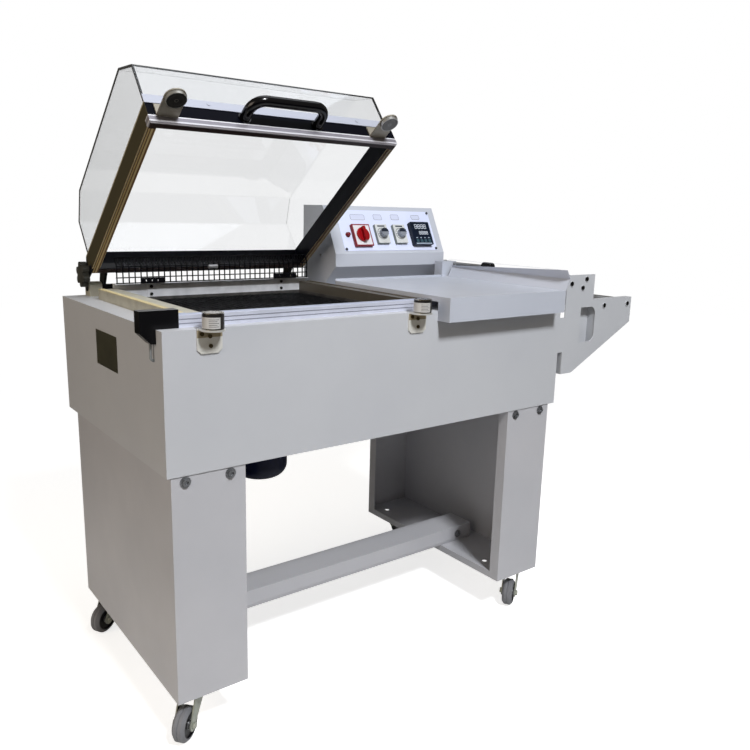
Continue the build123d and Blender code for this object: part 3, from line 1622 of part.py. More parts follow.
def make_nodes():
    """Every node by name, in the frame it is modelled in."""
    nodes = {
        "cabinet_shell": cabinet_shell(),
        "top_deck": top_deck(),
        "floor_pan": floor_pan(),
        "leg_left": leg(leg_left_x, True),
        "leg_right": leg(leg_right_x, False),
        "cross_beam": cross_beam(),
        "leg_bolts": leg_bolts(),
        "chamber_tub": chamber_tub(),
        "heater_elements": heater_elements(),
        "fan_motor": fan_motor(),
        "fan_impeller": fan_impeller(),
        "chamber_grid": chamber_grid(),
        "rear_baffle": rear_baffle(),
        "mesh_guard": mesh_guard(),
        "seal_bars": seal_bars(),
        "left_rest_bar": left_rest_bar(),
        "seal_strips": seal_strips(),
        "corner_cover": corner_cover(),
        "corner_cable": corner_cable(),
        "magnets": magnets(),
        "magnet_brackets": magnet_brackets(),
        "small_screws": small_screws(),
        "nameplate": nameplate(),
        "control_box": control_box(),
        "panel_plate": panel_plate(),
        "switch_plates": switch_plates(),
        "temperature_controller": temperature_controller(),
        "pilot_lamp": pilot_lamp(),
        "main_switch_knob": main_switch_knob(),
        "timer_knob_left": timer_knob(1),
        "timer_knob_right": timer_knob(2),
        "tray": tray(),
        "tray_lock_knob": tray_lock_knob(),
        "film_rack_rear_plate": film_rack_rear_plate(),
        "film_rods": film_rods(),
        "film_roller_inner": film_roller(0),
        "film_roller_outer": film_roller(1),
        "caster_plates": caster_plates(),
        "hinge_blocks": hinge_blocks(),
        "cable_gland": cable_gland(),
        "lid_frame": opened(lid_frame()),
        "lid_channel": opened(lid_channel()),
        "lid_seal": opened(lid_seal()),
        "lid_hood": opened(lid_hood()),
        "lid_handle": opened(lid_handle()),
        "armatures": opened(armatures()),
        "lid_hinge": opened(lid_hinge()),
        "star_knob": opened(star_knob()),
    }
    for index in range(key_count):
        nodes[f"key_{index + 1}"] = meter_key(index)
    for name, x, y, heading in caster_places():
        nodes[f"fork_{name}"] = caster_fork(x, y, heading)
        nodes[f"wheel_{name}"] = caster_wheel(x, y, heading)
    return nodes


def centred(nodes):
    """The nodes moved so that the origin is the middle of the footprint, on the floor."""
    boxes = [shape.bounding_box() for shape in nodes.values()]
    low_x = min(box.min.X for box in boxes)
    high_x = max(box.max.X for box in boxes)
    low_y = min(box.min.Y for box in boxes)
    high_y = max(box.max.Y for box in boxes)
    low_z = min(box.min.Z for box in boxes)
    shift = Vector(-(low_x + high_x) / 2, -(low_y + high_y) / 2, -low_z)
    return {name: Pos(shift) * shape for name, shape in nodes.items()}, shift


def main():
    os.makedirs("parts", exist_ok=True)
    nodes, shift = centred(make_nodes())
    for name, shape in nodes.items():
        export_step(shape, f"parts/{name}.step")
    print(len(nodes), "parts, moved by", shift)


if __name__ == "__main__":
    main()
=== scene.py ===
# %% [markdown]
# # An L bar sealer, dressed for a product picture
# The machine is a light grey cabinet on casters with a raised clear hood, a work tray, a slanted
# control box and a film rack. Its solid parts arrive finished from CAD. This lesson gives each of
# them its surface, adds the thin pieces that CAD leaves out, and lights and frames the result.

# %% Load the frame
import json
from math import atan2, cos, pi, radians, sin

import bmesh
import bpy
from mathutils import Matrix, Vector


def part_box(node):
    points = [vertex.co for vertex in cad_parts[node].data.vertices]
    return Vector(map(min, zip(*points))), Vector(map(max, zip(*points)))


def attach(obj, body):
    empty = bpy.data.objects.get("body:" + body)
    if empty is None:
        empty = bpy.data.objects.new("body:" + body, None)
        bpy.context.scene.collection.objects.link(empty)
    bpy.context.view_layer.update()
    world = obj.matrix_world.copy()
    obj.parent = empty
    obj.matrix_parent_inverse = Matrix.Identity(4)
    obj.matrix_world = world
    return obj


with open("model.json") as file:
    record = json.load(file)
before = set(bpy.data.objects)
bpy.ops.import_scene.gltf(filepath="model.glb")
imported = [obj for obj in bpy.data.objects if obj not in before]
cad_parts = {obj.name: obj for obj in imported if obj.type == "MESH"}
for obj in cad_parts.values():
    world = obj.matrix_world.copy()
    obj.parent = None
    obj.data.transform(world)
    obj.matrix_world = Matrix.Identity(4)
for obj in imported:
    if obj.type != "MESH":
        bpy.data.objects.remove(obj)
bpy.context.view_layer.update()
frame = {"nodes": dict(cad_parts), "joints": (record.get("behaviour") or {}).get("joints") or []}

# %% [markdown]
# ## One ruler for every piece
# The drawing of the machine counts millimetres from the lower left front corner of the cabinet.
# Blender counts metres from the middle of the footprint. A small helper turns the first into the
# second, by reading where the cabinet's corner lies.

# %% The ruler
MM = 0.001
cabinet_low = Vector(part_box("cabinet_shell")[0])


def at(x, y, z):
    """A point given in millimetres from the cabinet's front left corner, on the floor."""
    return Vector((cabinet_low.x + x * MM, cabinet_low.y + y * MM, z * MM))


print("corner of the cabinet", [round(c, 4) for c in at(0, 0, 0)])

# %% Objects in the scene
def new_object(name, data):
    """An object in the scene that shows a mesh, a curve, a lamp or a camera."""
    obj = bpy.data.objects.new(name, data)
    bpy.context.scene.collection.objects.link(obj)
    return obj


# %% [markdown]
# ## The camera
# The picture is taken from the left front, a little above the table. Its place and its three angles
# were worked out from points of the machine whose sizes are known, so the matrix is built
# from them directly: right, up and backwards are its columns.

# %% The camera
CAMERA_PLACE = (-493.166, -1262.535, 1061.367)
CAMERA_TURN = radians(37.4727)
CAMERA_DIP = radians(12.2874)
CAMERA_ROLL = radians(1.4743)
FOCAL_PIXELS = 750.877
IMAGE_PIXELS = 750
SENSOR = 36.0
FARTHEST_SEEN = 60.0


def camera_matrix():
    """The camera's place and directions as one matrix."""
    forward = Vector((sin(CAMERA_TURN) * cos(CAMERA_DIP),
                      cos(CAMERA_TURN) * cos(CAMERA_DIP),
                      -sin(CAMERA_DIP)))
    level = Vector((cos(CAMERA_TURN), -sin(CAMERA_TURN), 0))
    upward = level.cross(forward)
    right = level * cos(CAMERA_ROLL) + upward * sin(CAMERA_ROLL)
    up = upward * cos(CAMERA_ROLL) - level * sin(CAMERA_ROLL)
    turn = Matrix((right, up, -forward)).transposed().to_4x4()
    return Matrix.Translation(at(*CAMERA_PLACE)) @ turn


camera_data = bpy.data.cameras.new("camera")
camera_data.sensor_fit = "HORIZONTAL"
camera_data.sensor_width = SENSOR
camera_data.lens = SENSOR * FOCAL_PIXELS / IMAGE_PIXELS
camera_data.clip_end = FARTHEST_SEEN
camera = new_object("camera", camera_data)
camera.matrix_world = camera_matrix()
bpy.context.scene.camera = camera
print("lens", round(camera_data.lens, 2), "mm")

# %% [markdown]
# ## Building blocks for materials
# Every finish below is a tree of nodes. A few helpers keep the trees readable: they add a node and
# set its values, link two sockets, make a node group with named sockets, and start a material with
# its shader and output.

# %% Node helpers
FLOAT = "NodeSocketFloat"
VECTOR = "NodeSocketVector"
COLOUR = "NodeSocketColor"
KINDS = {1: FLOAT, 3: VECTOR, 4: COLOUR}


def add(tree, kind, **settings):
    """A node with settings; a name that starts with in_ sets the input with that number or name."""
    node = tree.nodes.new(kind)
    for name, value in settings.items():
        if name.startswith("in_"):
            key = name[3:]
            node.inputs[int(key) if key.isdigit() else key.replace("_", " ")].default_value = value
        else:
            setattr(node, name, value)
    return node


def join(source, target):
    """A link from an output to an input of the same tree."""
    source.id_data.links.new(source, target)


def wire(source, output, target, entry):
    """A link between two nodes, by the names or numbers of their sockets."""
    join(source.outputs[output], target.inputs[entry])


def new_group(name, inputs, outputs):
    """A node group with named inputs, each with its first value, and outputs, each with its kind."""
    group = bpy.data.node_groups.new(name, "ShaderNodeTree")
    for label, value in inputs.items():
        kind = KINDS[len(value) if isinstance(value, tuple) else 1]
        group.interface.new_socket(label, in_out="INPUT", socket_type=kind).default_value = value
    for label, kind in outputs.items():
        group.interface.new_socket(label, in_out="OUTPUT", socket_type=kind)
    print("group", name)
    return group, group.nodes.new("NodeGroupInput"), group.nodes.new("NodeGroupOutput")


def place(tree, group, **values):
    """A group in a material's tree, with its own values."""
    node = tree.nodes.new("ShaderNodeGroup")
    node.node_tree = group
    for name, value in values.items():
        node.inputs[name.replace("_", " ")].default_value = value
    return node


def new_material(name, **values):
    """A material with a Principled shader whose plain values are set by name."""
    material = bpy.data.materials.new(name)
    material.use_nodes = True
    tree = material.node_tree
    tree.nodes.clear()
    shader = add(tree, "ShaderNodeBsdfPrincipled")
    output = add(tree, "ShaderNodeOutputMaterial")
    wire(shader, 0, output, "Surface")
    for label, value in values.items():
        shader.inputs[label.replace("_", " ")].default_value = value
    return material, tree, shader


def colour(red, green, blue):
    """An sRGB colour of 0 to 255 as the linear colour that a shader reads."""
    linear = []
    for value in (red, green, blue):
        share = value / 255
        linear.append(share / 12.92 if share <= 0.04045 else ((share + 0.055) / 1.055) ** 2.4)
    return (*linear, 1.0)


print("grey paint as linear colour", [round(c, 3) for c in colour(185, 188, 196)])

# %% [markdown]
# ## Shared effects
# Powder paint is never one flat colour: it has soft clouds, a fine orange peel, and a film of dust on
# what faces up. Machined metal has grain that runs one way. Each effect is one node group, so that
# every material that uses it shows the same hand.

# %% Clouds: two close colours mixed by soft noise
clouds, clouds_in, clouds_out = new_group(
    "clouds",
    {"Colour": (0.5, 0.5, 0.5, 1), "Second Colour": (0.4, 0.4, 0.4, 1), "Scale": 6.0},
    {"Colour": COLOUR, "Mask": FLOAT})
cloud_place = add(clouds, "ShaderNodeTexCoord")
cloud_noise = add(clouds, "ShaderNodeTexNoise", in_Detail=5.0, in_Roughness=0.55)
cloud_range = add(clouds, "ShaderNodeMapRange", in_From_Min=0.35, in_From_Max=0.7)
cloud_mix = add(clouds, "ShaderNodeMix", data_type="RGBA")
wire(cloud_place, "Object", cloud_noise, "Vector")
wire(clouds_in, "Scale", cloud_noise, "Scale")
wire(cloud_noise, "Fac", cloud_range, "Value")
wire(cloud_range, "Result", cloud_mix, "Factor")
wire(clouds_in, "Colour", cloud_mix, "A")
wire(clouds_in, "Second Colour", cloud_mix, "B")
wire(cloud_mix, "Result", clouds_out, "Colour")
wire(cloud_range, "Result", clouds_out, "Mask")

# %% Peel: the fine waviness of paint and moulded plastic
peel, peel_in, peel_out = new_group(
    "peel",
    {"Scale": 500.0, "Strength": 0.1},
    {"Normal": VECTOR})
peel_place = add(peel, "ShaderNodeTexCoord")
peel_noise = add(peel, "ShaderNodeTexNoise", in_Detail=2.0, in_Roughness=0.5)
peel_bump = add(peel, "ShaderNodeBump", in_Distance=0.0002)
wire(peel_place, "Object", peel_noise, "Vector")
wire(peel_in, "Scale", peel_noise, "Scale")
wire(peel_in, "Strength", peel_bump, "Strength")
wire(peel_noise, "Fac", peel_bump, "Height")
wire(peel_bump, "Normal", peel_out, "Normal")

# %% Grain: fine lines along one direction
grain, grain_in, grain_out = new_group(
    "grain",
    {"Stretch": (6.0, 900.0, 900.0)},
    {"Value": FLOAT})
grain_place = add(grain, "ShaderNodeTexCoord")
grain_scale = add(grain, "ShaderNodeVectorMath", operation="MULTIPLY")
grain_noise = add(grain, "ShaderNodeTexNoise", in_Scale=1.0, in_Detail=3.0)
grain_range = add(grain, "ShaderNodeMapRange", in_From_Min=0.3, in_From_Max=0.7)
wire(grain_place, "Object", grain_scale, 0)
wire(grain_in, "Stretch", grain_scale, 1)
wire(grain_scale, "Vector", grain_noise, "Vector")
wire(grain_noise, "Fac", grain_range, "Value")
wire(grain_range, "Result", grain_out, "Value")

# %% Dust: a pale film on what faces up
dust, dust_in, dust_out = new_group(
    "dust",
    {"Colour": (0.5, 0.5, 0.5, 1), "Dust Colour": (0.6, 0.58, 0.54, 1), "Amount": 0.2},
    {"Colour": COLOUR})
dust_geometry = add(dust, "ShaderNodeNewGeometry")
dust_split = add(dust, "ShaderNodeSeparateXYZ")
dust_up = add(dust, "ShaderNodeMapRange", in_From_Min=0.3, in_From_Max=0.95)
dust_place = add(dust, "ShaderNodeTexCoord")
dust_noise = add(dust, "ShaderNodeTexNoise", in_Scale=25.0, in_Detail=6.0, in_Roughness=0.65)
dust_patch = add(dust, "ShaderNodeMapRange", in_From_Min=0.35, in_From_Max=0.75)
dust_times = add(dust, "ShaderNodeMath", operation="MULTIPLY")
dust_amount = add(dust, "ShaderNodeMath", operation="MULTIPLY")
dust_mix = add(dust, "ShaderNodeMix", data_type="RGBA")
wire(dust_geometry, "Normal", dust_split, 0)
wire(dust_split, "Z", dust_up, "Value")
wire(dust_place, "Object", dust_noise, "Vector")
wire(dust_noise, "Fac", dust_patch, "Value")
wire(dust_up, "Result", dust_times, 0)
wire(dust_patch, "Result", dust_times, 1)
wire(dust_times, 0, dust_amount, 0)
wire(dust_in, "Amount", dust_amount, 1)
wire(dust_amount, 0, dust_mix, "Factor")
wire(dust_in, "Colour", dust_mix, "A")
wire(dust_in, "Dust Colour", dust_mix, "B")
wire(dust_mix, "Result", dust_out, "Colour")

# %% Round zone: a mask that is 1 near an axis, for hubs, discs and rings
round_zone, round_in, round_out = new_group(
    "round zone",
    {"Centre": (0, 0, 0), "Axis": (0, 0, 1), "Radius": 0.01},
    {"Mask": FLOAT})
round_place = add(round_zone, "ShaderNodeTexCoord")
round_from = add(round_zone, "ShaderNodeVectorMath", operation="SUBTRACT")
round_cross = add(round_zone, "ShaderNodeVectorMath", operation="CROSS_PRODUCT")
round_length = add(round_zone, "ShaderNodeVectorMath", operation="LENGTH")
round_less = add(round_zone, "ShaderNodeMath", operation="LESS_THAN")
wire(round_place, "Object", round_from, 0)
wire(round_in, "Centre", round_from, 1)
wire(round_from, "Vector", round_cross, 0)
wire(round_in, "Axis", round_cross, 1)
wire(round_cross, "Vector", round_length, 0)
wire(round_length, "Value", round_less, 0)
wire(round_in, "Radius", round_less, 1)
wire(round_less, 0, round_out, "Mask")

# %% Box zone: a mask that is 1 inside a box, which may stand on a tilted frame
box_zone, box_in, box_out = new_group(
    "box zone",
    {"Pivot": (0, 0, 0), "Tilt": 0.0, "Low": (0, 0, 0), "High": (1, 1, 1)},
    {"Mask": FLOAT})
box_place = add(box_zone, "ShaderNodeTexCoord")
box_turn = add(box_zone, "ShaderNodeVectorRotate", rotation_type="X_AXIS")
box_above = add(box_zone, "ShaderNodeVectorMath", operation="SUBTRACT")
box_below = add(box_zone, "ShaderNodeVectorMath", operation="SUBTRACT")
box_least = add(box_zone, "ShaderNodeVectorMath", operation="MINIMUM")
box_split = add(box_zone, "ShaderNodeSeparateXYZ")
box_pair = add(box_zone, "ShaderNodeMath", operation="MINIMUM")
box_all = add(box_zone, "ShaderNodeMath", operation="MINIMUM")
box_more = add(box_zone, "ShaderNodeMath", operation="GREATER_THAN", in_1=0.0)
wire(box_place, "Object", box_turn, "Vector")
wire(box_in, "Pivot", box_turn, "Center")
wire(box_in, "Tilt", box_turn, "Angle")
wire(box_turn, "Vector", box_above, 0)
wire(box_in, "Low", box_above, 1)
wire(box_in, "High", box_below, 0)
wire(box_turn, "Vector", box_below, 1)
wire(box_above, "Vector", box_least, 0)
wire(box_below, "Vector", box_least, 1)
wire(box_least, "Vector", box_split, 0)
wire(box_split, "X", box_pair, 0)
wire(box_split, "Y", box_pair, 1)
wire(box_pair, 0, box_all, 0)
wire(box_split, "Z", box_all, 1)
wire(box_all, 0, box_more, 0)
wire(box_more, 0, box_out, "Mask")

# %% [markdown]
# ## Three rulers for the masks
# A mask is given in millimetres on one of three frames: the machine itself, the closed lid, which
# here stands open around its hinge, or the slanted panel, where y runs up the slope and z off it.

# %% Frames of the masks
HINGE = (600.0, 864.0)
LID_ANGLE = radians(37.4)
PANEL_FOOT = (455.0, 945.0)
PANEL_TOP = (520.0, 1075.0)
PANEL_ANGLE = atan2(PANEL_TOP[1] - PANEL_FOOT[1], PANEL_TOP[0] - PANEL_FOOT[0])
FRAMES = {"machine": (at(0, 0, 0), 0.0), "lid": (at(0, *HINGE), LID_ANGLE),
          "panel": (at(0, *PANEL_FOOT), -PANEL_ANGLE)}
FAR = 5000.0
ALL = (-FAR, FAR)


def on_lid(x, y, z):
    """A point given on the closed lid, where it lies while the lid is open."""
    run, rise = y - HINGE[0], z - HINGE[1]
    return at(x, HINGE[0] + run * cos(LID_ANGLE) + rise * sin(LID_ANGLE),
              HINGE[1] - run * sin(LID_ANGLE) + rise * cos(LID_ANGLE))


def inside(base, x=ALL, y=ALL, z=ALL):
    """A mask maker: 1 inside a box on a frame, given as a range along each axis."""
    pivot, tilt = FRAMES[base]
    low, high = zip(x, y, z)
    if base == "panel":
        low, high = ((c[0], PANEL_FOOT[0] + c[1], PANEL_FOOT[1] + c[2]) for c in (low, high))
    values = {"Pivot": pivot, "Tilt": tilt, "Low": at(*low), "High": at(*high)}
    return lambda tree: place(tree, box_zone, **values).outputs["Mask"]


def around(centre, axis, radius):
    """A mask maker: 1 near an axis through a point in metres, within a radius in millimetres."""
    values = {"Centre": centre, "Axis": axis, "Radius": radius * MM}
    return lambda tree: place(tree, round_zone, **values).outputs["Mask"]


print("frames", sorted(FRAMES))

# %% [markdown]
# ## Painted sheet
# The cabinet, legs, tray and control box are bent steel sheet with light grey powder paint. Two close
# greys drift into each other, dust lies thinly on the tops, and a fine peel breaks up the gloss.

# %% Paints
DUST_COLOUR = colour(196, 192, 184)
PAINT_PEEL = 700.0
SMOOTHER = 0.04
DULLER = 0.08


def paint(name, main, second, roughness=0.42, peel_strength=0.12, dust_amount=0.12, cloud_scale=3.0,
          shine=0.4):
    """Powder paint with clouds, dust and peel."""
    material, tree, shader = new_material(name, Roughness=roughness, Specular_IOR_Level=shine)
    body = place(tree, clouds, Colour=colour(*main), Second_Colour=colour(*second), Scale=cloud_scale)
    film = place(tree, dust, Dust_Colour=DUST_COLOUR, Amount=dust_amount)
    skin = place(tree, peel, Scale=PAINT_PEEL, Strength=peel_strength)
    dull = add(tree, "ShaderNodeMapRange", in_To_Min=roughness - SMOOTHER, in_To_Max=roughness + DULLER)
    wire(body, "Colour", film, "Colour")
    wire(film, "Colour", shader, "Base Color")
    wire(body, "Mask", dull, "Value")
    wire(dull, "Result", shader, "Roughness")
    wire(skin, "Normal", shader, "Normal")
    return material


cabinet_paint = paint("cabinet paint", (190, 192, 197), (184, 186, 192))
leg_paint = paint("leg paint", (184, 184, 189), (176, 177, 183))
tray_paint = paint("tray paint", (188, 192, 203), (180, 185, 197), roughness=0.32)
box_paint = paint("control box paint", (190, 194, 204), (184, 188, 199), roughness=0.36)
motor_paint = paint("motor paint", (4, 14, 52), (2, 8, 34), roughness=0.35, dust_amount=0.0, shine=0.2)
print("paints", [m.name for m in (cabinet_paint, leg_paint, tray_paint, box_paint, motor_paint)])

# %% [markdown]
# ## Bare and plated metal
# The bars are brushed along their length, so the grain group is stretched along that axis. Plated
# screws and brackets have no visible direction: their grain is the same along every axis.

# %% Metals
ALONG_X = (8.0, 1400.0, 1400.0)
ALONG_Y = (1400.0, 8.0, 1400.0)
NO_WAY = (260.0, 260.0, 260.0)
METAL_CLOUDS = 30.0
GRAIN_SPREAD = 0.12
GRAIN_STRENGTH = 0.25
GRAIN_DEPTH = 0.00004
PLATED_DEPTH = 0.00001


def metal(name, main, second, roughness, stretch=NO_WAY, depth=GRAIN_DEPTH, bare=1.0):
    """Metal with grain: bare is its share of true metal, the rest looks painted."""
    material, tree, shader = new_material(name, Metallic=bare, Roughness=roughness)
    body = place(tree, clouds, Colour=colour(*main), Second_Colour=colour(*second), Scale=METAL_CLOUDS)
    wire(body, "Colour", shader, "Base Color")
    lines = place(tree, grain, Stretch=stretch)
    dull = add(tree, "ShaderNodeMapRange", in_To_Min=roughness - GRAIN_SPREAD / 2,
               in_To_Max=roughness + GRAIN_SPREAD)
    bump = add(tree, "ShaderNodeBump", in_Strength=GRAIN_STRENGTH, in_Distance=depth)
    wire(lines, "Value", dull, "Value")
    wire(dull, "Result", shader, "Roughness")
    wire(lines, "Value", bump, "Height")
    wire(bump, "Normal", shader, "Normal")
    return material


side_aluminium = metal("side bar aluminium", (196, 193, 178), (176, 173, 158), 0.4, ALONG_Y, bare=0.4)
stainless = metal("stainless sheet", (222, 224, 230), (196, 198, 204), 0.38, ALONG_X, bare=0.1)
tub_steel = metal("chamber steel", (96, 94, 92), (70, 69, 68), 0.45, bare=0.6)
zinc = metal("zinc plate", (172, 176, 166), (138, 142, 132), 0.34, depth=PLATED_DEPTH, bare=0.4)
bolt_steel = metal("bolt steel", (150, 152, 156), (120, 122, 126), 0.3, depth=PLATED_DEPTH, bare=0.8)
heater_metal = metal("heater sheath", (96, 86, 78), (60, 54, 50), 0.45)
print("metals", [m.name for m in (side_aluminium, stainless, tub_steel, zinc, bolt_steel, heater_metal)])

# %% [markdown]
# ## Plastics, rubber and black paint
# These are all dielectric surfaces: one colour with slight clouds, a peel like that of paint, no
# dust, and a roughness that tells satin from gloss.

# %% Plastics and rubber
PLASTIC_CLOUDS = 12.0


def plastic(name, main, second, roughness, peel_strength=0.15, shine=0.25):
    """Moulded plastic, rubber or black paint."""
    return paint(name, main, second, roughness, peel_strength, 0.0, PLASTIC_CLOUDS, shine)


black_paint = plastic("black paint", (7, 8, 14), (4, 5, 9), 0.4, shine=0.15)
black_plastic = plastic("black plastic", (9, 9, 12), (5, 5, 8), 0.3)
black_gloss = plastic("black gloss", (6, 6, 9), (3, 3, 6), 0.14, peel_strength=0.04, shine=0.4)
grid_black = plastic("grid coating", (14, 15, 18), (7, 7, 9), 0.45, shine=0.2)
guard_black = plastic("guard wire", (8, 8, 14), (4, 4, 8), 0.4, shine=0.15)
cable_grey = plastic("cable sheath", (128, 132, 134), (104, 108, 110), 0.45)
plate_dark = plastic("bare plate", (66, 65, 52), (52, 51, 42), 0.35, shine=0.4)
panel_film = plastic("panel film", (214, 220, 244), (208, 215, 241), 0.35)
switch_red = plastic("switch red", (158, 10, 20), (126, 6, 14), 0.2, shine=0.5)
star_grey = plastic("star knob", (74, 74, 68), (52, 52, 48), 0.4)
lamp_red = plastic("lamp lens", (110, 10, 22), (80, 6, 14), 0.15, shine=0.5)
meter_black = plastic("instrument case", (14, 26, 46), (9, 18, 34), 0.3)
key_grey = plastic("instrument key", (58, 84, 94), (48, 72, 82), 0.4)
print("instrument finishes", meter_black.name, "and", key_grey.name)

# %% [markdown]
# ## Several finishes on one part
# A wheel is a grey tyre on a black hub, a magnet wears a bare label, and the lid's seal is striped.
# Each is one CAD part, so its material lays looks over each other, each where its masks are 1. The
# other way, one part for each colour, would cut real pieces where they have no joint.

# %% Layered finishes
LAYER_CLOUDS = 20.0
LAYER_PEEL = 900.0
SECOND_SHARE = 0.85


def look(red, green, blue, roughness, bare=0.0):
    """One look: an sRGB colour, a roughness, and a share of bare metal."""
    return colour(red, green, blue), roughness, bare


def layered(name, base, layers, peel_strength=0.12, shine=0.3, stretch=None):
    """A base look with layers of (masks, look) over it; stretch adds grain."""
    main, *numbers = base
    material, tree, shader = new_material(name, Specular_IOR_Level=shine)
    second = tuple(SECOND_SHARE * c for c in main[:3]) + (1,)
    body = place(tree, clouds, Colour=main, Second_Colour=second, Scale=LAYER_CLOUDS)
    skin = place(tree, peel, Scale=LAYER_PEEL, Strength=peel_strength)
    tone, values = body.outputs["Colour"], []
    for label, number in zip(("roughness", "metal"), numbers):
        start = add(tree, "ShaderNodeValue", label=label)
        start.outputs[0].default_value = number
        values.append(start.outputs[0])
    for masks, (over, *over_numbers) in layers:
        mask = masks[0](tree)
        for other in masks[1:]:
            both = add(tree, "ShaderNodeMath", operation="MULTIPLY")
            join(mask, both.inputs[0])
            join(other(tree), both.inputs[1])
            mask = both.outputs[0]
        mix = add(tree, "ShaderNodeMix", data_type="RGBA")
        mix.inputs["B"].default_value = over
        join(mask, mix.inputs["Factor"])
        join(tone, mix.inputs["A"])
        tone = mix.outputs["Result"]
        for index, number in enumerate(over_numbers):
            step = add(tree, "ShaderNodeMapRange", in_To_Max=number)
            join(mask, step.inputs["Value"])
            join(values[index], step.inputs["To Min"])
            values[index] = step.outputs["Result"]
    join(tone, shader.inputs["Base Color"])
    join(values[0], shader.inputs["Roughness"])
    join(values[1], shader.inputs["Metallic"])
    normal = skin.outputs["Normal"]
    if stretch:
        lines = place(tree, grain, Stretch=stretch)
        bump = add(tree, "ShaderNodeBump", in_Strength=GRAIN_STRENGTH, in_Distance=GRAIN_DEPTH)
        wire(lines, "Value", bump, "Height")
        join(normal, bump.inputs["Normal"])
        normal = bump.outputs["Normal"]
    join(normal, shader.inputs["Normal"])
    return material


HUB_RADIUS = 25.2
TREAD_LINE = 1.6
AXLE_SHARE = 0.4
wheel_paints = {}
for joint in frame["joints"]:
    if joint["name"].startswith("roll_"):
        corner = joint["name"][len("roll_"):]
        centre, axis = tuple(joint["pos_m"]), tuple(joint["axis"])
        wheel_paints["wheel_" + corner] = layered("caster wheel " + corner, look(118, 119, 124, 0.55), [
            ([around(centre, axis, HUB_RADIUS + TREAD_LINE)], look(58, 58, 62, 0.5)),
            ([around(centre, axis, HUB_RADIUS)], look(22, 22, 25, 0.35)),
            ([around(centre, axis, AXLE_SHARE * HUB_RADIUS)], look(150, 150, 152, 0.3, 0.8)),
        ])
print("wheel finishes", sorted(wheel_paints))

# %% [markdown]
# ## The lid's frame and seal
# The lid is a black box-section ring over brushed bars, with a seal of tan strips inside it. In the
# picture the ring's left flank and under-faces pick up the tan of the seal and of the room, and the
# bars have a bright upper and lower edge. A lamp for each of these would upset the rest of the
# picture, so they are layers on the closed lid's ruler: painted reflections on the ring and painted
# highlights on the bars. The seal's right run is darkened as painted shade.

# %% Lid frame and seal
LID_X = (52.0, 640.0)
LID_Y = (32.0, 547.0)
LID_BAR = 18.0
SKIN = 1.0
FLANK_SKIN = 0.5
UNDER_LEVEL = 872.6
EDGE_LEVEL = 915.5
behind_front = (LID_Y[0] + LID_BAR, FAR)
flank = (-FAR, LID_X[0] + FLANK_SKIN)
left_member = inside("lid", x=(LID_X[0] - SKIN, LID_X[0] + LID_BAR + SKIN), y=behind_front)
right_member = inside("lid", x=(LID_X[1] - LID_BAR - SKIN, LID_X[1] + SKIN), y=behind_front)
under_channel = inside("lid", z=(-FAR, UNDER_LEVEL))
# The tan and pale layers of the channel are painted reflections of the seal and the room, darker on the
# right.
channel_finish = layered("lid channel", look(6, 7, 16, 0.4), [
    ([left_member], look(44, 40, 28, 0.45)),
    ([inside("lid", x=flank)], look(70, 65, 48, 0.45)),
    ([inside("lid", x=flank, z=(EDGE_LEVEL, FAR))], look(176, 170, 150, 0.4)),
    ([left_member, under_channel], look(196, 178, 140, 0.5)),
    ([right_member, under_channel], look(150, 140, 118, 0.5)),
], shine=0.04)

LID_METAL = (872.0, 887.0)
UPPER_GLINT = 2.2
LOWER_GLINT = 4.0
CLAMP_LEVEL = 913.0
# The bright bands at the bars' upper and lower edges are painted highlights.
lid_bar_finish = layered("lid bars", look(146, 143, 152, 0.4, 0.5), [
    ([inside("lid", z=(LID_METAL[1] - UPPER_GLINT, LID_METAL[1] + SKIN))], look(232, 232, 238, 0.4, 0.2)),
    ([inside("lid", z=(LID_METAL[0] - SKIN, LID_METAL[0] + LOWER_GLINT))], look(206, 205, 212, 0.4, 0.3)),
    ([inside("lid", z=(CLAMP_LEVEL, FAR))], look(178, 182, 196, 0.4, 0.2)),
    ([inside("lid", y=(LID_Y[1] - 2 * LID_BAR, FAR))], look(10, 10, 20, 0.4)),
], stretch=ALONG_X)

# Each strip of the seal has a near and a far edge, counted from the seal's outside, and a colour.
SEAL_INSET = 2.5
SEAL_STRIPS = ((0.0, 3.5, (186, 158, 108)), (3.5, 5.5, (96, 70, 46)), (5.5, 9.5, (206, 182, 132)),
               (9.5, 13.0, (120, 88, 58)))
# SHADED darkens the colours of the right run's strips: painted shade.
SHADED = 0.72
FRONT_LIP = 4.5
left_edge, right_edge = LID_X[0] + SEAL_INSET, LID_X[1] - SEAL_INSET
seal_layers = []
for near, far, tint in SEAL_STRIPS:
    on_left = inside("lid", x=(left_edge + near, left_edge + far), y=behind_front)
    on_right = inside("lid", x=(right_edge - far, right_edge - near), y=behind_front)
    seal_layers.append(([on_left], look(*tint, 0.5)))
    seal_layers.append(([on_right], look(*(SHADED * c for c in tint), 0.5)))
seal_layers.append(([inside("lid", y=(-FAR, LID_Y[0] + FRONT_LIP))], look(150, 146, 150, 0.4, 0.4)))
seal_finish = layered("lid seal", look(44, 28, 26, 0.5), seal_layers)
print("layers of the lid's seal", len(seal_layers))
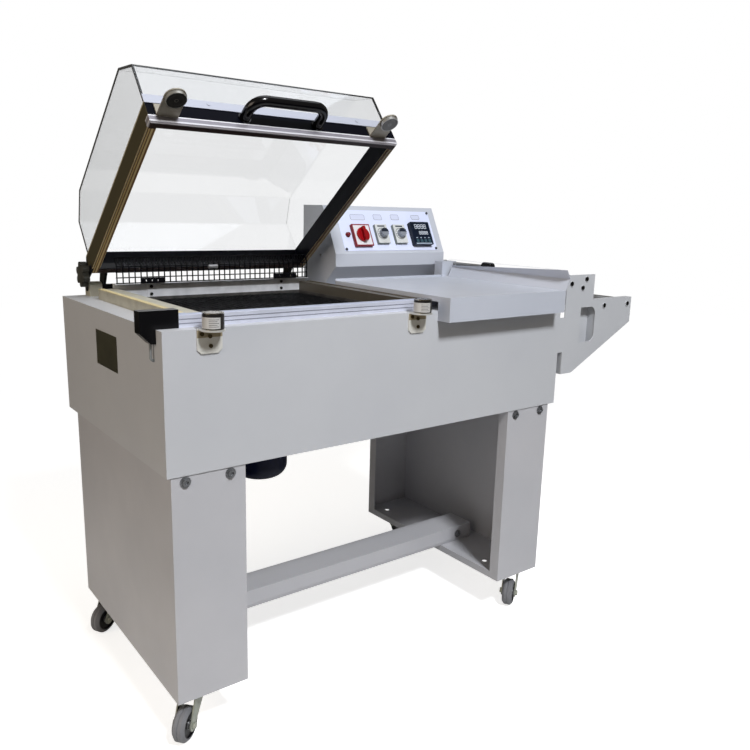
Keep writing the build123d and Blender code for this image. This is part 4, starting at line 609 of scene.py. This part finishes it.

# %% [markdown]
# ## Armatures
# Two round steel discs on the lid meet the magnets. From below each shows a bright rim, a dark face
# with a faint ring, and a screw in its middle. The rings are turned, so masks around the disc's axis
# draw them sharply at any distance. The right disc faces more of the light, so its colours are
# lifted paler: painted light.

# %% Armature finish
ARMATURES = (90.0, 588.0)
POLE_Y = -18.0
PLATE_LEVEL = 885.0
PLATE_SKIN = 0.02
PAINTED_LIGHT_SHARE = 0.45
PAINTED_LIGHT_LIFT = 100
POLE_RINGS = ((20.2, (176, 174, 168), 0.3, 0.8), (18.6, (40, 39, 36), 0.4, 0.2),
              (13.5, (62, 60, 55), 0.35, 0.3), (12.3, (40, 39, 36), 0.4, 0.2),
              (4.2, (112, 110, 104), 0.3, 0.7), (2.4, (24, 24, 24), 0.5, 0.0))
lid_upward = Vector((0, sin(LID_ANGLE), cos(LID_ANGLE)))
below_plate = inside("lid", z=(-FAR, PLATE_LEVEL - PLATE_SKIN))
pole_layers = []
for x in ARMATURES:
    centre = on_lid(x, POLE_Y, PLATE_LEVEL)
    for radius, tint, roughness, bare in POLE_RINGS:
        # The right disc's colours are lifted paler: painted light.
        if x == ARMATURES[1]:
            tint = [PAINTED_LIGHT_SHARE * c + PAINTED_LIGHT_LIFT for c in tint]
        pole_layers.append(([around(centre, lid_upward, radius), below_plate], look(*tint, roughness, bare)))
armature_finish = layered("armature plate", look(158, 152, 140, 0.38, 0.5), pole_layers, peel_strength=0.05)
print("axis of the discs", [round(c, 3) for c in lid_upward])

# %% [markdown]
# ## Sealing bars, magnets and small fittings
# The sealing bars are extrusions with two slots along their front, whose darker bands are painted
# shade. Their right-hand run and its strips lie in the lid's shade, painted into their colour as
# painted shade. The magnets are turned cans with a dark coil cover and a bare label that keeps only
# its lines. The screws are zinc in most places and brown or black in a few.

# %% Sealing bars and guard
STRIPS_REAR = 54
SHADED_RIGHT_RUN = (599, FAR)
BARS_REAR = 53.1
BAR_FACE = (0, 28.6)
SLOT_SHADE_LEVELS = ((851.6, 853.4), (859.6, 861.4))
SPRING = ((321, 346), (489, 500.4), (910, 922))
# The right run's strips are darker: painted shade of the lid.
strip_finish = layered("rest strips", look(214, 200, 156, 0.6), [
    ([inside("machine", y=(0, STRIPS_REAR))], look(176, 182, 200, 0.45, 0.2)),
    ([inside("machine", x=SHADED_RIGHT_RUN, y=(STRIPS_REAR - 1, FAR))], look(78, 72, 62, 0.5)),
])
# The slots' darker bands and the right run's darker colour are painted shade.
bar_layers = [([inside("machine", y=BAR_FACE, z=slot)], look(120, 122, 134, 0.5, 0.3)) for slot in SLOT_SHADE_LEVELS]
bar_layers.append(([inside("machine", x=SHADED_RIGHT_RUN, y=(BARS_REAR, FAR))], look(98, 93, 84, 0.4, 0.4)))
bar_finish = layered("sealing bars", look(216, 220, 236, 0.4, 0.3), bar_layers, stretch=ALONG_X)
guard_finish = layered("guard wire", look(8, 8, 14, 0.4), [
    ([inside("machine", *SPRING)], look(176, 176, 180, 0.3, 0.6)),
], shine=0.12)
print("slots drawn on the bars", len(SLOT_SHADE_LEVELS))

# %% Magnets and screws
MAGNET_TOP = 877.0
CAP_TOP = MAGNET_TOP - 2.0
COVER_TOP = MAGNET_TOP - 6.5
COVER_FOOT = MAGNET_TOP - 29.0
LABEL_X = (-22, 5)
LABEL_Z = (MAGNET_TOP - 28.0, MAGNET_TOP - 7.5)
LINE_COUNT = 5
LINE_X = (-15, 2)
LINE_TOP = MAGNET_TOP - 12.0
LINE_PITCH = 3.2
LINE_HEIGHT = 1.1
SHORTER = 3
BRACKET_FACE = -2
BRACKET_BAND = (829, 845)
BRACKET_FOLD = (843, 846)
FRONT_SCREWS_TOP = 846
DARK_SCREWS = ((0, 640), (500, 530), (845, 880))
PANEL_SCREWS = (ALL, (0, 200), (0, 20))
magnet_layers = [
    ([inside("machine", z=(COVER_TOP, CAP_TOP))], look(34, 33, 32, 0.35, 0.3)),
    ([inside("machine", z=(COVER_FOOT, COVER_TOP))], look(44, 42, 40, 0.4, 0.2)),
]
for x in ARMATURES:
    label = inside("machine", x=(x + LABEL_X[0], x + LABEL_X[1]), z=LABEL_Z)
    magnet_layers.append(([label], look(184, 183, 182, 0.45)))
    for row in range(LINE_COUNT):
        level = LINE_TOP - LINE_PITCH * row
        line_end = x + LINE_X[1] - SHORTER * (row % 2)
        line = inside("machine", x=(x + LINE_X[0], line_end), z=(level, level + LINE_HEIGHT))
        magnet_layers.append(([line], look(92, 92, 94, 0.5)))
magnet_finish = layered("magnet", look(196, 192, 184, 0.22, 1.0), magnet_layers, peel_strength=0.03)
bracket_finish = layered("magnet bracket", look(222, 221, 216, 0.32, 0.2), [
    ([inside("machine", y=(-FAR, BRACKET_FACE), z=BRACKET_BAND)], look(164, 152, 128, 0.35, 0.3)),
    ([inside("machine", z=BRACKET_FOLD)], look(214, 214, 212, 0.3, 0.5)),
], peel_strength=0.05)
screw_finish = layered("small screws", look(150, 150, 152, 0.35, 0.6), [
    ([inside("machine", y=(-FAR, 0), z=(-FAR, FRONT_SCREWS_TOP))], look(92, 80, 56, 0.35, 0.7)),
    ([inside("machine", *DARK_SCREWS)], look(26, 25, 25, 0.4, 0.3)),
    ([inside("panel", *PANEL_SCREWS)], look(60, 62, 70, 0.35, 0.5)),
])
print("layers of the magnets", len(magnet_layers))

# %% [markdown]
# ## Tray lock and film rack
# The tray's lock is a bright rod with a black knob. Each rod and roller of the film rack ends in
# front of the plate in a pale rim with a dark hole, which a disc around its axis draws.

# %% Lock, rods and rollers
LOCK_KNOB_REAR = 285.7
RACK_FACE = 1.0
HOLE_RADIUS = 6.4
ROD_PLACES = ((1118.5, 888.0), (1165.5, 876.0), (1179.5, 899.0))
ROLLER_PLACES = ((1265.0, 824.0), (1371.0, 824.0))
lock_finish = layered("lock rod", look(168, 168, 166, 0.3, 0.8), [
    ([inside("machine", y=(-FAR, LOCK_KNOB_REAR))], look(12, 12, 14, 0.25)),
])
in_front = inside("machine", y=(-FAR, RACK_FACE))


def rack_ends(places):
    """Layers for ends in front of the rack's plate: a pale rim, and a dark hole at each place."""
    layers = [([in_front], look(206, 208, 212, 0.4, 0.3))]
    for x, z in places:
        layers.append(([in_front, around(at(x, 0, z), (0, 1, 0), HOLE_RADIUS)], look(8, 8, 10, 0.35)))
    return layers


rod_finish = layered("film rods", look(12, 12, 14, 0.35, 0.3), rack_ends(ROD_PLACES))
roller_finish = layered("film rollers", look(196, 198, 203, 0.3, 0.9), rack_ends(ROLLER_PLACES))
print("holes drawn on the rack", len(ROD_PLACES + ROLLER_PLACES))

# %% [markdown]
# ## Plates and dials
# The main switch stands on a pale plate with a red rim, the dials on grey ones. Each dial is a
# satin metal knob whose upper half has a dark inlay. The panel's own ruler places the layers.

# %% Finishes of the controls
SWITCH_X = (751.0, 805.0)
SWITCH_RISE = (22.5, 81.0)
RIM_X = (740, 815)
DIAL_PLATES_X = (820, 950)
PLATE_FACE = 10.9
DIAL_CENTRES = ((850.0, 56.0), (916.0, 56.0))
INLAY_REACH = 20
INLAY_RISE = (56.0, 90.0)
INLAY_LIFT = (23.5, 30)
plates_finish = layered("switch plates", look(206, 208, 208, 0.35), [
    ([inside("panel", x=DIAL_PLATES_X, z=(-FAR, PLATE_FACE))], look(128, 134, 128, 0.4)),
    ([inside("panel", x=RIM_X)], look(128, 14, 26, 0.3)),
    ([inside("panel", x=SWITCH_X, y=SWITCH_RISE, z=(PLATE_FACE, FAR))], look(216, 214, 218, 0.35)),
])
inlay_layers = []
for x, _ in DIAL_CENTRES:
    inlay = inside("panel", x=(x - INLAY_REACH, x + INLAY_REACH), y=INLAY_RISE, z=INLAY_LIFT)
    inlay_layers.append(([inlay], look(30, 36, 48, 0.3)))
dial_knob_finish = layered("dial knobs", look(168, 174, 186, 0.28, 0.5), inlay_layers, peel_strength=0.03)
print("dials with an inlay", len(inlay_layers))

# %% [markdown]
# ## The clear hood
# The hood is bent acrylic sheet, about 5 mm thick. A transmission shader with the index of acrylic
# does most of the work, and the real wall thickness in CAD gives it its true edges. Soft clouds of a
# second tint stand for the marks of handling.

# %% Clear acrylic
ACRYLIC_INDEX = 1.49
ACRYLIC_TINT = (0.885, 0.892, 0.9, 1)
HANDLED_TINT = (0.87, 0.878, 0.886, 1)
HANDLED_SCALE = 4.0
clear_acrylic, hood_tree, hood_shader = new_material(
    "clear acrylic", Base_Color=ACRYLIC_TINT, Roughness=0.02, IOR=ACRYLIC_INDEX, Transmission_Weight=1.0,
    Specular_IOR_Level=0.1)
hood_film = place(hood_tree, clouds, Colour=ACRYLIC_TINT, Second_Colour=HANDLED_TINT, Scale=HANDLED_SCALE)
wire(hood_film, "Colour", hood_shader, "Base Color")
print("hood", clear_acrylic.name)

# %% [markdown]
# ## Dressing the parts
# Now every part from CAD gets its finish. A table of names keeps this readable, and the loop reports
# any part that was forgotten.

# %% Assign the finishes
FINISHES = dict(
    cabinet_shell=cabinet_paint, top_deck=cabinet_paint, floor_pan=cabinet_paint,
    leg_left=leg_paint, leg_right=leg_paint, cross_beam=leg_paint, leg_bolts=bolt_steel,
    chamber_tub=tub_steel, heater_elements=heater_metal, fan_motor=motor_paint, fan_impeller=zinc,
    chamber_grid=grid_black, rear_baffle=stainless, mesh_guard=guard_finish, seal_bars=bar_finish,
    left_rest_bar=side_aluminium, seal_strips=strip_finish, corner_cover=black_plastic,
    corner_cable=cable_grey, magnets=magnet_finish, magnet_brackets=bracket_finish,
    small_screws=screw_finish, nameplate=plate_dark, control_box=box_paint,
    panel_plate=panel_film, switch_plates=plates_finish, temperature_controller=meter_black,
    pilot_lamp=lamp_red, main_switch_knob=switch_red, timer_knob_left=dial_knob_finish,
    timer_knob_right=dial_knob_finish, tray=tray_paint, tray_lock_knob=lock_finish,
    film_rack_rear_plate=cabinet_paint, film_rods=rod_finish, film_roller_inner=roller_finish,
    film_roller_outer=roller_finish, caster_plates=zinc, hinge_blocks=side_aluminium,
    cable_gland=black_plastic, lid_frame=lid_bar_finish, lid_channel=channel_finish,
    lid_seal=seal_finish, lid_hood=clear_acrylic, lid_handle=black_gloss,
    armatures=armature_finish, lid_hinge=black_paint, star_knob=star_grey,
)
for number in range(1, 5):
    FINISHES[f"key_{number}"] = key_grey
for corner in ("front_left", "front_right", "rear_left", "rear_right"):
    FINISHES["fork_" + corner] = zinc
FINISHES.update(wheel_paints)

missing = []
for name, obj in frame["nodes"].items():
    if name not in FINISHES:
        missing.append(name)
        continue
    for slot in obj.material_slots:
        slot.material = FINISHES[name]
    if not obj.material_slots:
        obj.data.materials.append(FINISHES[name])
print("parts without a finish:", missing)

# %% [markdown]
# ## Drawing on the slanted panel
# The dial marks, the frames of the labels and the displays are thin films on the slanted face. They
# are drawn flat, in millimetres along the panel and up its slope, and a helper lifts each outline
# onto the slope. A film is a closed prism a few tenths of a millimetre thick, so it catches light as
# a real overlay does.

# %% The slope
PANEL_SHEET = 1.0
INK = 0.15
panel_run = Vector((0, PANEL_TOP[0] - PANEL_FOOT[0], PANEL_TOP[1] - PANEL_FOOT[1])).normalized()
panel_out = Vector((0, -panel_run.z, panel_run.y))


def on_panel(x, rise, lift):
    """A point on the panel: x from the cabinet's corner, rise up the slope, lift off the face."""
    spot = Vector((x, PANEL_FOOT[0], PANEL_FOOT[1])) + panel_run * rise + panel_out * lift
    return at(*spot)


def ride_new(name, data, material, body):
    """An object made from a mesh or curve, with its finish, riding on a body."""
    data.materials.append(material)
    obj = new_object(name, data)
    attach(obj, body)


def prism(bm, rings, hole_rings=None):
    """A closed prism from a lower and an upper ring of points; two hole rings make it a frame."""
    lower, upper = ([bm.verts.new(spot) for spot in ring] for ring in rings)
    sides = [(index, (index + 1) % len(lower)) for index in range(len(lower))]
    if hole_rings:
        low_hole, high_hole = ([bm.verts.new(spot) for spot in ring] for ring in hole_rings)
        for index, after in sides:
            bm.faces.new((upper[index], upper[after], high_hole[after], high_hole[index]))
            bm.faces.new((lower[after], lower[index], low_hole[index], low_hole[after]))
            bm.faces.new((low_hole[index], high_hole[index], high_hole[after], low_hole[after]))
    else:
        bm.faces.new(upper)
        bm.faces.new(list(reversed(lower)))
    for index, after in sides:
        bm.faces.new((lower[index], lower[after], upper[after], upper[index]))


def film(bm, outline, lift, thickness=INK, hole=()):
    """A thin prism on the panel over an outline of (x, rise) points; a hole has as many points."""
    levels = (lift, lift + thickness)
    rings = [[on_panel(x, rise, level) for x, rise in outline] for level in levels]
    hole_rings = [[on_panel(x, rise, level) for x, rise in hole] for level in levels]
    prism(bm, rings, hole_rings if hole else None)


def rounded(x, rise, width, height, radius, steps=4):
    """The outline of a rounded rectangle about a middle point."""
    points = []
    for corner, (side_x, side_y) in enumerate(((1, 1), (-1, 1), (-1, -1), (1, -1))):
        for step in range(steps + 1):
            angle = pi / 2 * (corner + step / steps)
            points.append((x + side_x * (width / 2 - radius) + radius * cos(angle),
                           rise + side_y * (height / 2 - radius) + radius * sin(angle)))
    return points


def disc(x, rise, radius, steps=32):
    """The outline of a circle."""
    return [(x + radius * cos(2 * pi * step / steps), rise + radius * sin(2 * pi * step / steps))
            for step in range(steps)]


def ride_mesh(name, bm, material):
    """A new piece from a bmesh, with its normals outward, riding on the base."""
    bmesh.ops.recalc_face_normals(bm, faces=bm.faces)
    mesh = bpy.data.meshes.new(name)
    bm.to_mesh(mesh)
    bm.free()
    ride_new(name, mesh, material, "base")


print("slope of the panel", [round(c, 3) for c in panel_run])

# %% [markdown]
# ## Label frames, dial faces and displays
# The labels over the controls are bare rounded frames. The two dials have a ring of marks on their
# plates, and the instrument has two rows of pale digits over a row of keys and a pale band.

# %% Label frames
LABEL_FRAMES = ((782, 110, 50, 17), (854, 111, 30, 17), (918, 112, 30, 17), (997, 113, 32, 14))
LABEL_LINE = 0.9
OUTER_CORNER = 4
INNER_CORNER = 3.2
LABEL_FILM = 0.1
label_ink = plastic("label ink", (112, 114, 130), (100, 102, 118), 0.5)
label_face = plastic("label face", (204, 209, 230), (198, 204, 226), 0.4)
frames_bm = bmesh.new()
faces_bm = bmesh.new()
for x, rise, width, height in LABEL_FRAMES:
    outer = rounded(x, rise, width, height, OUTER_CORNER)
    inner = rounded(x, rise, width - 2 * LABEL_LINE, height - 2 * LABEL_LINE, INNER_CORNER)
    film(frames_bm, outer, PANEL_SHEET, hole=inner)
    film(faces_bm, inner, PANEL_SHEET, LABEL_FILM)
ride_mesh("label_frames", frames_bm, label_ink)
ride_mesh("label_faces", faces_bm, label_face)
print("label frames", len(LABEL_FRAMES))

# %% Dial marks
PLATE_RISE = 10.0
RING_RADII = (17.6, 16.4)
MARK_REACH = (13.6, 16.0)
MARK_HALF_WIDTH = 0.6
MARK_COUNT = 11
FIRST_MARK = -60
MARK_STEP = 30
CAPTION_RISE = 23.0
CAPTION_SIZE = (26, 4.0)
CAPTION_CORNER = 1
dial_ink = plastic("dial ink", (44, 52, 66), (34, 42, 56), 0.4)
ink_bm = bmesh.new()
face_lift = PANEL_SHEET + PLATE_RISE
for x, rise in DIAL_CENTRES:
    film(ink_bm, disc(x, rise, RING_RADII[0]), face_lift, hole=disc(x, rise, RING_RADII[1]))
    for mark in range(MARK_COUNT):
        angle = radians(FIRST_MARK + MARK_STEP * mark)
        out = Vector((cos(angle), sin(angle)))
        across = Vector((-out.y, out.x)) * MARK_HALF_WIDTH
        near, far = out * MARK_REACH[0], out * MARK_REACH[1]
        corners = [near - across, far - across, far + across, near + across]
        film(ink_bm, [(x + c.x, rise + c.y) for c in corners], face_lift)
    film(ink_bm, rounded(x, rise + CAPTION_RISE, *CAPTION_SIZE, CAPTION_CORNER), face_lift)
ride_mesh("dial_marks", ink_bm, dial_ink)
print("dials", len(DIAL_CENTRES))

# %% Displays
METER_LEFT = 958.2
METER_FOOT = 20.0
METER_RISE = 14.0
METER_RECESS = 1.2
SEGMENT = 1.7
SEGMENT_CORNER = 0.5
SEGMENT_FILM = 0.2
SEGMENT_STEP = 0.02
DIGIT_COUNT = 4
# A row of digits has its first middle, its pitch, its rise, and the width and height of a digit.
DIGIT_ROWS = ((20.0, 11.6, 57.5, 9.6, 14.0), (31.0, 9.0, 37.5, 7.4, 11.0))
FOOT_BAND = (36.0, 3.4, 60, 3.0)
KEY_BANDS = (13.5, 15.0, 21.5, 6, 2.6)
BAND_CORNER = 0.8
display_grey = plastic("display digits", (206, 212, 222), (188, 196, 208), 0.3)
pale_band = plastic("instrument band", (176, 190, 206), (160, 176, 194), 0.35)
display_bm = bmesh.new()
band_bm = bmesh.new()
meter_face = PANEL_SHEET + METER_RISE
display_lift = meter_face - METER_RECESS


def digit(bm, x, rise, width, height):
    """An eight made of seven bars, around a middle point."""
    for level in (-0.5, 0.0, 0.5):
        bar = rounded(x, rise + level * (height - SEGMENT), width - SEGMENT, SEGMENT, SEGMENT_CORNER)
        film(bm, bar, display_lift, SEGMENT_FILM)
    for side in (-0.5, 0.5):
        for level in (-0.25, 0.25):
            bar = rounded(x + side * (width - SEGMENT), rise + level * (height - SEGMENT), SEGMENT,
                          height / 2 - 2 * SEGMENT / 3, SEGMENT_CORNER)
            film(bm, bar, display_lift + SEGMENT_STEP, SEGMENT_FILM)


def band(x, rise, width, height):
    """A pale bar on the instrument's face, around a middle point counted from its lower left."""
    film(band_bm, rounded(METER_LEFT + x, METER_FOOT + rise, width, height, BAND_CORNER), meter_face)


for index in range(DIGIT_COUNT):
    for first, pitch, rise, width, height in DIGIT_ROWS:
        digit(display_bm, METER_LEFT + first + pitch * index, METER_FOOT + rise, width, height)
band(*FOOT_BAND)
first, pitch, *rest = KEY_BANDS
for index in range(DIGIT_COUNT):
    band(first + pitch * index, *rest)
ride_mesh("displays", display_bm, display_grey)
ride_mesh("instrument_band", band_bm, pale_band)
print("digits", DIGIT_COUNT * len(DIGIT_ROWS))

# %% [markdown]
# ## Edges of the clear hood
# Where two sheets of acrylic meet, the cement and the saw cut show as a thin dark line. A curve with a
# small round bevel follows each of those edges, a hair inside them. The front corners are cemented
# over their whole height, so their line is broader.

# %% Hood edges
HOOD_SIDES = (52.0, 630.0)
HOOD_OUTLINE = ((32, 919), (32, 1009), (90, 1056), (474, 1056), (534, 1009), (534, 919))
HOOD_MIDDLE = 283.0
HOOD_SHOULDER = 1000
SEAM_RADIUS = 1.3
SEAM_SINK = 0.3
FRONT_RADIUS = 2.2
seam_dark = plastic("hood seam", (52, 54, 56), (36, 38, 40), 0.3)


def seam(name, runs, radius):
    """Thin round lines along runs of points, as one curve that rides on the lid."""
    curve = bpy.data.curves.new(name, "CURVE")
    curve.dimensions = "3D"
    curve.bevel_depth = radius * MM
    curve.bevel_resolution = 1
    for run in runs:
        line = curve.splines.new("POLY")
        line.points.add(len(run) - 1)
        for point, spot in zip(line.points, run):
            point.co = (*spot, 1)
    ride_new(name, curve, seam_dark, "lid")


def inset(y, z):
    """An outline point moved inward, so that a line there stays inside the hood."""
    sink = SEAM_RADIUS + SEAM_SINK
    inward = -sink if y > HOOD_MIDDLE else sink
    return y + inward, z - (sink if z > HOOD_SHOULDER else 0)


left_x, right_x = HOOD_SIDES[0] + SEAM_RADIUS, HOOD_SIDES[1] - SEAM_RADIUS
runs = [[on_lid(x, *inset(y, z)) for y, z in HOOD_OUTLINE[1:]] for x in (left_x, right_x)]
runs.append([on_lid(x, *inset(*HOOD_OUTLINE[2])) for x in (left_x, right_x)])
seam("hood_edges", runs, SEAM_RADIUS)

front_runs = []
for x in (HOOD_SIDES[0] + FRONT_RADIUS, HOOD_SIDES[1] - FRONT_RADIUS):
    upright = [on_lid(x, y + FRONT_RADIUS + SEAM_SINK, z) for y, z in HOOD_OUTLINE[:2]]
    front_runs.append(upright + [on_lid(x, *inset(*HOOD_OUTLINE[2]))])
seam("hood_corners", front_runs, FRONT_RADIUS)
print("hood edge lines", len(runs) + len(front_runs))

# %% [markdown]
# ## The guard's leaning top
# The wire guard's top leans back and is filled with expanded metal: thin strands that cross on
# slants. Two families of flat strands lie on the lean, each a long closed prism. A pattern in the
# material alone would leave no holes to see through.

# %% Expanded metal of the guard
WEAVE_X = (93.0, 614.0)
WEAVE_FOOT = (503.6, 922.5)
WEAVE_HEAD = (514.0, 940.5)
WEAVE_PITCH = 8.0
WEAVE_WIDTH = 1.9
WEAVE_THICKNESS = 0.8
WEAVE_LIFT = 0.3
WEAVE_SLANT = 9.0
weave_run = Vector((0, WEAVE_HEAD[0] - WEAVE_FOOT[0], WEAVE_HEAD[1] - WEAVE_FOOT[1]))
weave_out = Vector((0, -weave_run.z, weave_run.y)).normalized()
weave_bm = bmesh.new()
strands = 1 + int((WEAVE_X[1] - WEAVE_X[0] - WEAVE_SLANT - WEAVE_WIDTH) / WEAVE_PITCH)
for direction in (0, 1):
    lift = WEAVE_LIFT + WEAVE_THICKNESS * direction
    for index in range(strands):
        start = WEAVE_X[0] + WEAVE_PITCH * index
        foot = start + (0 if direction else WEAVE_SLANT)
        head = start + (WEAVE_SLANT if direction else 0)
        outline = ((foot, 0), (foot + WEAVE_WIDTH, 0), (head + WEAVE_WIDTH, 1), (head, 1))
        prism(weave_bm, [[at(*(Vector((x, *WEAVE_FOOT)) + weave_run * share + weave_out * level))
                          for x, share in outline] for level in (lift, lift + WEAVE_THICKNESS)])
ride_mesh("guard_weave", weave_bm, guard_black)
print("strands", 2 * strands)

# %% [markdown]
# ## The chamber's grid
# The grid on which the goods lie is expanded metal too: two families of long strands at a low slant
# over the CAD part's wires. Each strand is cut where it meets the grid's front or rear edge.

# %% Expanded metal of the chamber's grid
GRID_X = (101.0, 596.0)
GRID_Y = (57.0, 516.0)
GRID_TOP = 837.2
GRID_PITCH = 15.0
GRID_SLOPE = 0.45
GRID_WIDTH = 3.0
GRID_THICKNESS = 0.8
GRID_OVERLAP = 1
grid_bm = bmesh.new()
reach = GRID_SLOPE * (GRID_X[1] - GRID_X[0])
starts = [GRID_PITCH * index for index in range(1, int((GRID_Y[1] - GRID_Y[0] + reach) / GRID_PITCH))]
laid = 0
for direction in (1, -1):
    slope = direction * GRID_SLOPE
    lift = GRID_TOP + (GRID_THICKNESS if direction > 0 else 0)
    for offset in starts:
        start = GRID_Y[0] - (reach if direction > 0 else 0) + offset
        ends = []
        for x in GRID_X:
            held = min(max(start + slope * (x - GRID_X[0]), GRID_Y[0]), GRID_Y[1])
            ends.append((GRID_X[0] + (held - start) / slope, held))
        (near_x, near_y), (far_x, far_y) = ends
        if far_x - near_x < 2 * GRID_WIDTH:
            continue
        outline = ((near_x, near_y), (far_x, far_y),
                   (far_x, far_y + GRID_WIDTH), (near_x, near_y + GRID_WIDTH))
        prism(grid_bm, [[at(x, min(y, GRID_Y[1] + GRID_OVERLAP), level) for x, y in outline]
                        for level in (lift, lift + GRID_THICKNESS)])
        laid += 1
ride_mesh("grid_weave", grid_bm, grid_black)
print("grid strands", laid)

# %% [markdown]
# ## Floor, backdrop and light
# The picture has a plain white ground. The floor shows white to the camera and to clear
# plastic, but it is an ordinary pale surface to the lamps, so the machine keeps its soft shadow.
# With distance its own colour fades to black and its glow rises to full white, so that no horizon
# shows through the hood.

# %% Floor
FLOOR_SIZE = 14.0
FADE_FROM = 0.9
FADE_TO = 2.2
NEAR_GLOW = 0.72
NEAR_GREY = 0.8


def to_the_eye(tree):
    """1 on rays from the camera and through clear plastic, else 0."""
    path = add(tree, "ShaderNodeLightPath")
    either = add(tree, "ShaderNodeMath", operation="MAXIMUM")
    wire(path, "Is Camera Ray", either, 0)
    wire(path, "Is Transmission Ray", either, 1)
    return either.outputs[0]


def fade(tree, distance, near, far):
    """A value that goes from near to far as the distance from the machine grows."""
    step = add(tree, "ShaderNodeMapRange", in_From_Min=FADE_FROM, in_From_Max=FADE_TO, in_To_Min=near,
               in_To_Max=far)
    join(distance, step.inputs["Value"])
    return step.outputs["Result"]


half = FLOOR_SIZE / 2
floor_mesh = bpy.data.meshes.new("floor")
floor_mesh.from_pydata([(-half, -half, 0), (half, -half, 0), (half, half, 0), (-half, half, 0)], [],
                       [(0, 1, 2, 3)])
floor = new_object("floor", floor_mesh)
floor_material, floor_tree, floor_shader = new_material("floor", Roughness=0.9, Specular_IOR_Level=0.1)
floor_place = add(floor_tree, "ShaderNodeTexCoord")
floor_far = add(floor_tree, "ShaderNodeVectorMath", operation="LENGTH")
glow = add(floor_tree, "ShaderNodeMath", operation="MULTIPLY")
wire(floor_place, "Object", floor_far, 0)
distance = floor_far.outputs["Value"]
join(to_the_eye(floor_tree), glow.inputs[0])
join(fade(floor_tree, distance, NEAR_GLOW, 1.0), glow.inputs[1])
join(fade(floor_tree, distance, NEAR_GREY, 0.0), floor_shader.inputs["Base Color"])
wire(glow, 0, floor_shader, "Emission Strength")
floor_shader.inputs["Emission Color"].default_value = (1, 1, 1, 1)
floor_mesh.materials.append(floor_material)
print("floor", FLOOR_SIZE, "m")

# %% World
ROOM_TINT = (1.0, 0.9, 0.74, 1)
ROOM_STRENGTH = 0.16
world = bpy.data.worlds.new("studio")
bpy.context.scene.world = world
world.use_nodes = True
world_tree = world.node_tree
world_tree.nodes.clear()
white = add(world_tree, "ShaderNodeBackground", in_Color=(1, 1, 1, 1), in_Strength=1.0)
ambient = add(world_tree, "ShaderNodeBackground", in_Color=ROOM_TINT, in_Strength=ROOM_STRENGTH)
choose = add(world_tree, "ShaderNodeMixShader")
world_out = add(world_tree, "ShaderNodeOutputWorld")
join(to_the_eye(world_tree), choose.inputs[0])
wire(ambient, 0, choose, 1)
wire(white, 0, choose, 2)
wire(choose, 0, world_out, 0)
print("room strength", ROOM_STRENGTH)

# %% [markdown]
# ## Lamps
# A hard, cool key from the front draws the edges, a wide one above softens the tops, and a wide warm
# one on the left stands for the tan room that tints the left wall. Sizes are in metres, powers in watts.

# %% Lamps
def lamp(name, spot, target, size, power, tint):
    """A soft square lamp that looks at a point."""
    data = bpy.data.lights.new(name, "AREA")
    data.shape = "SQUARE"
    data.size = size
    data.energy = power
    data.color = tint
    obj = new_object(name, data)
    obj.location = spot
    obj.rotation_euler = (Vector(target) - Vector(spot)).to_track_quat("-Z", "Y").to_euler()


lamp("key lamp", (-0.4, -2.8, 3.6), (-0.1, 0, 0.7), size=0.6, power=156, tint=(0.96, 0.98, 1.0))
lamp("top lamp", (0.3, 0.2, 3.6), (0, 0, 0.8), size=2.0, power=18, tint=(0.88, 0.93, 1.0))
lamp("left lamp", (-3.6, -0.6, 1.8), (0, 0, 0.6), size=2.0, power=42, tint=(1.0, 0.86, 0.7))
bpy.context.scene.view_settings.view_transform = "Standard"
print("lamps", [light.name for light in bpy.data.lights])
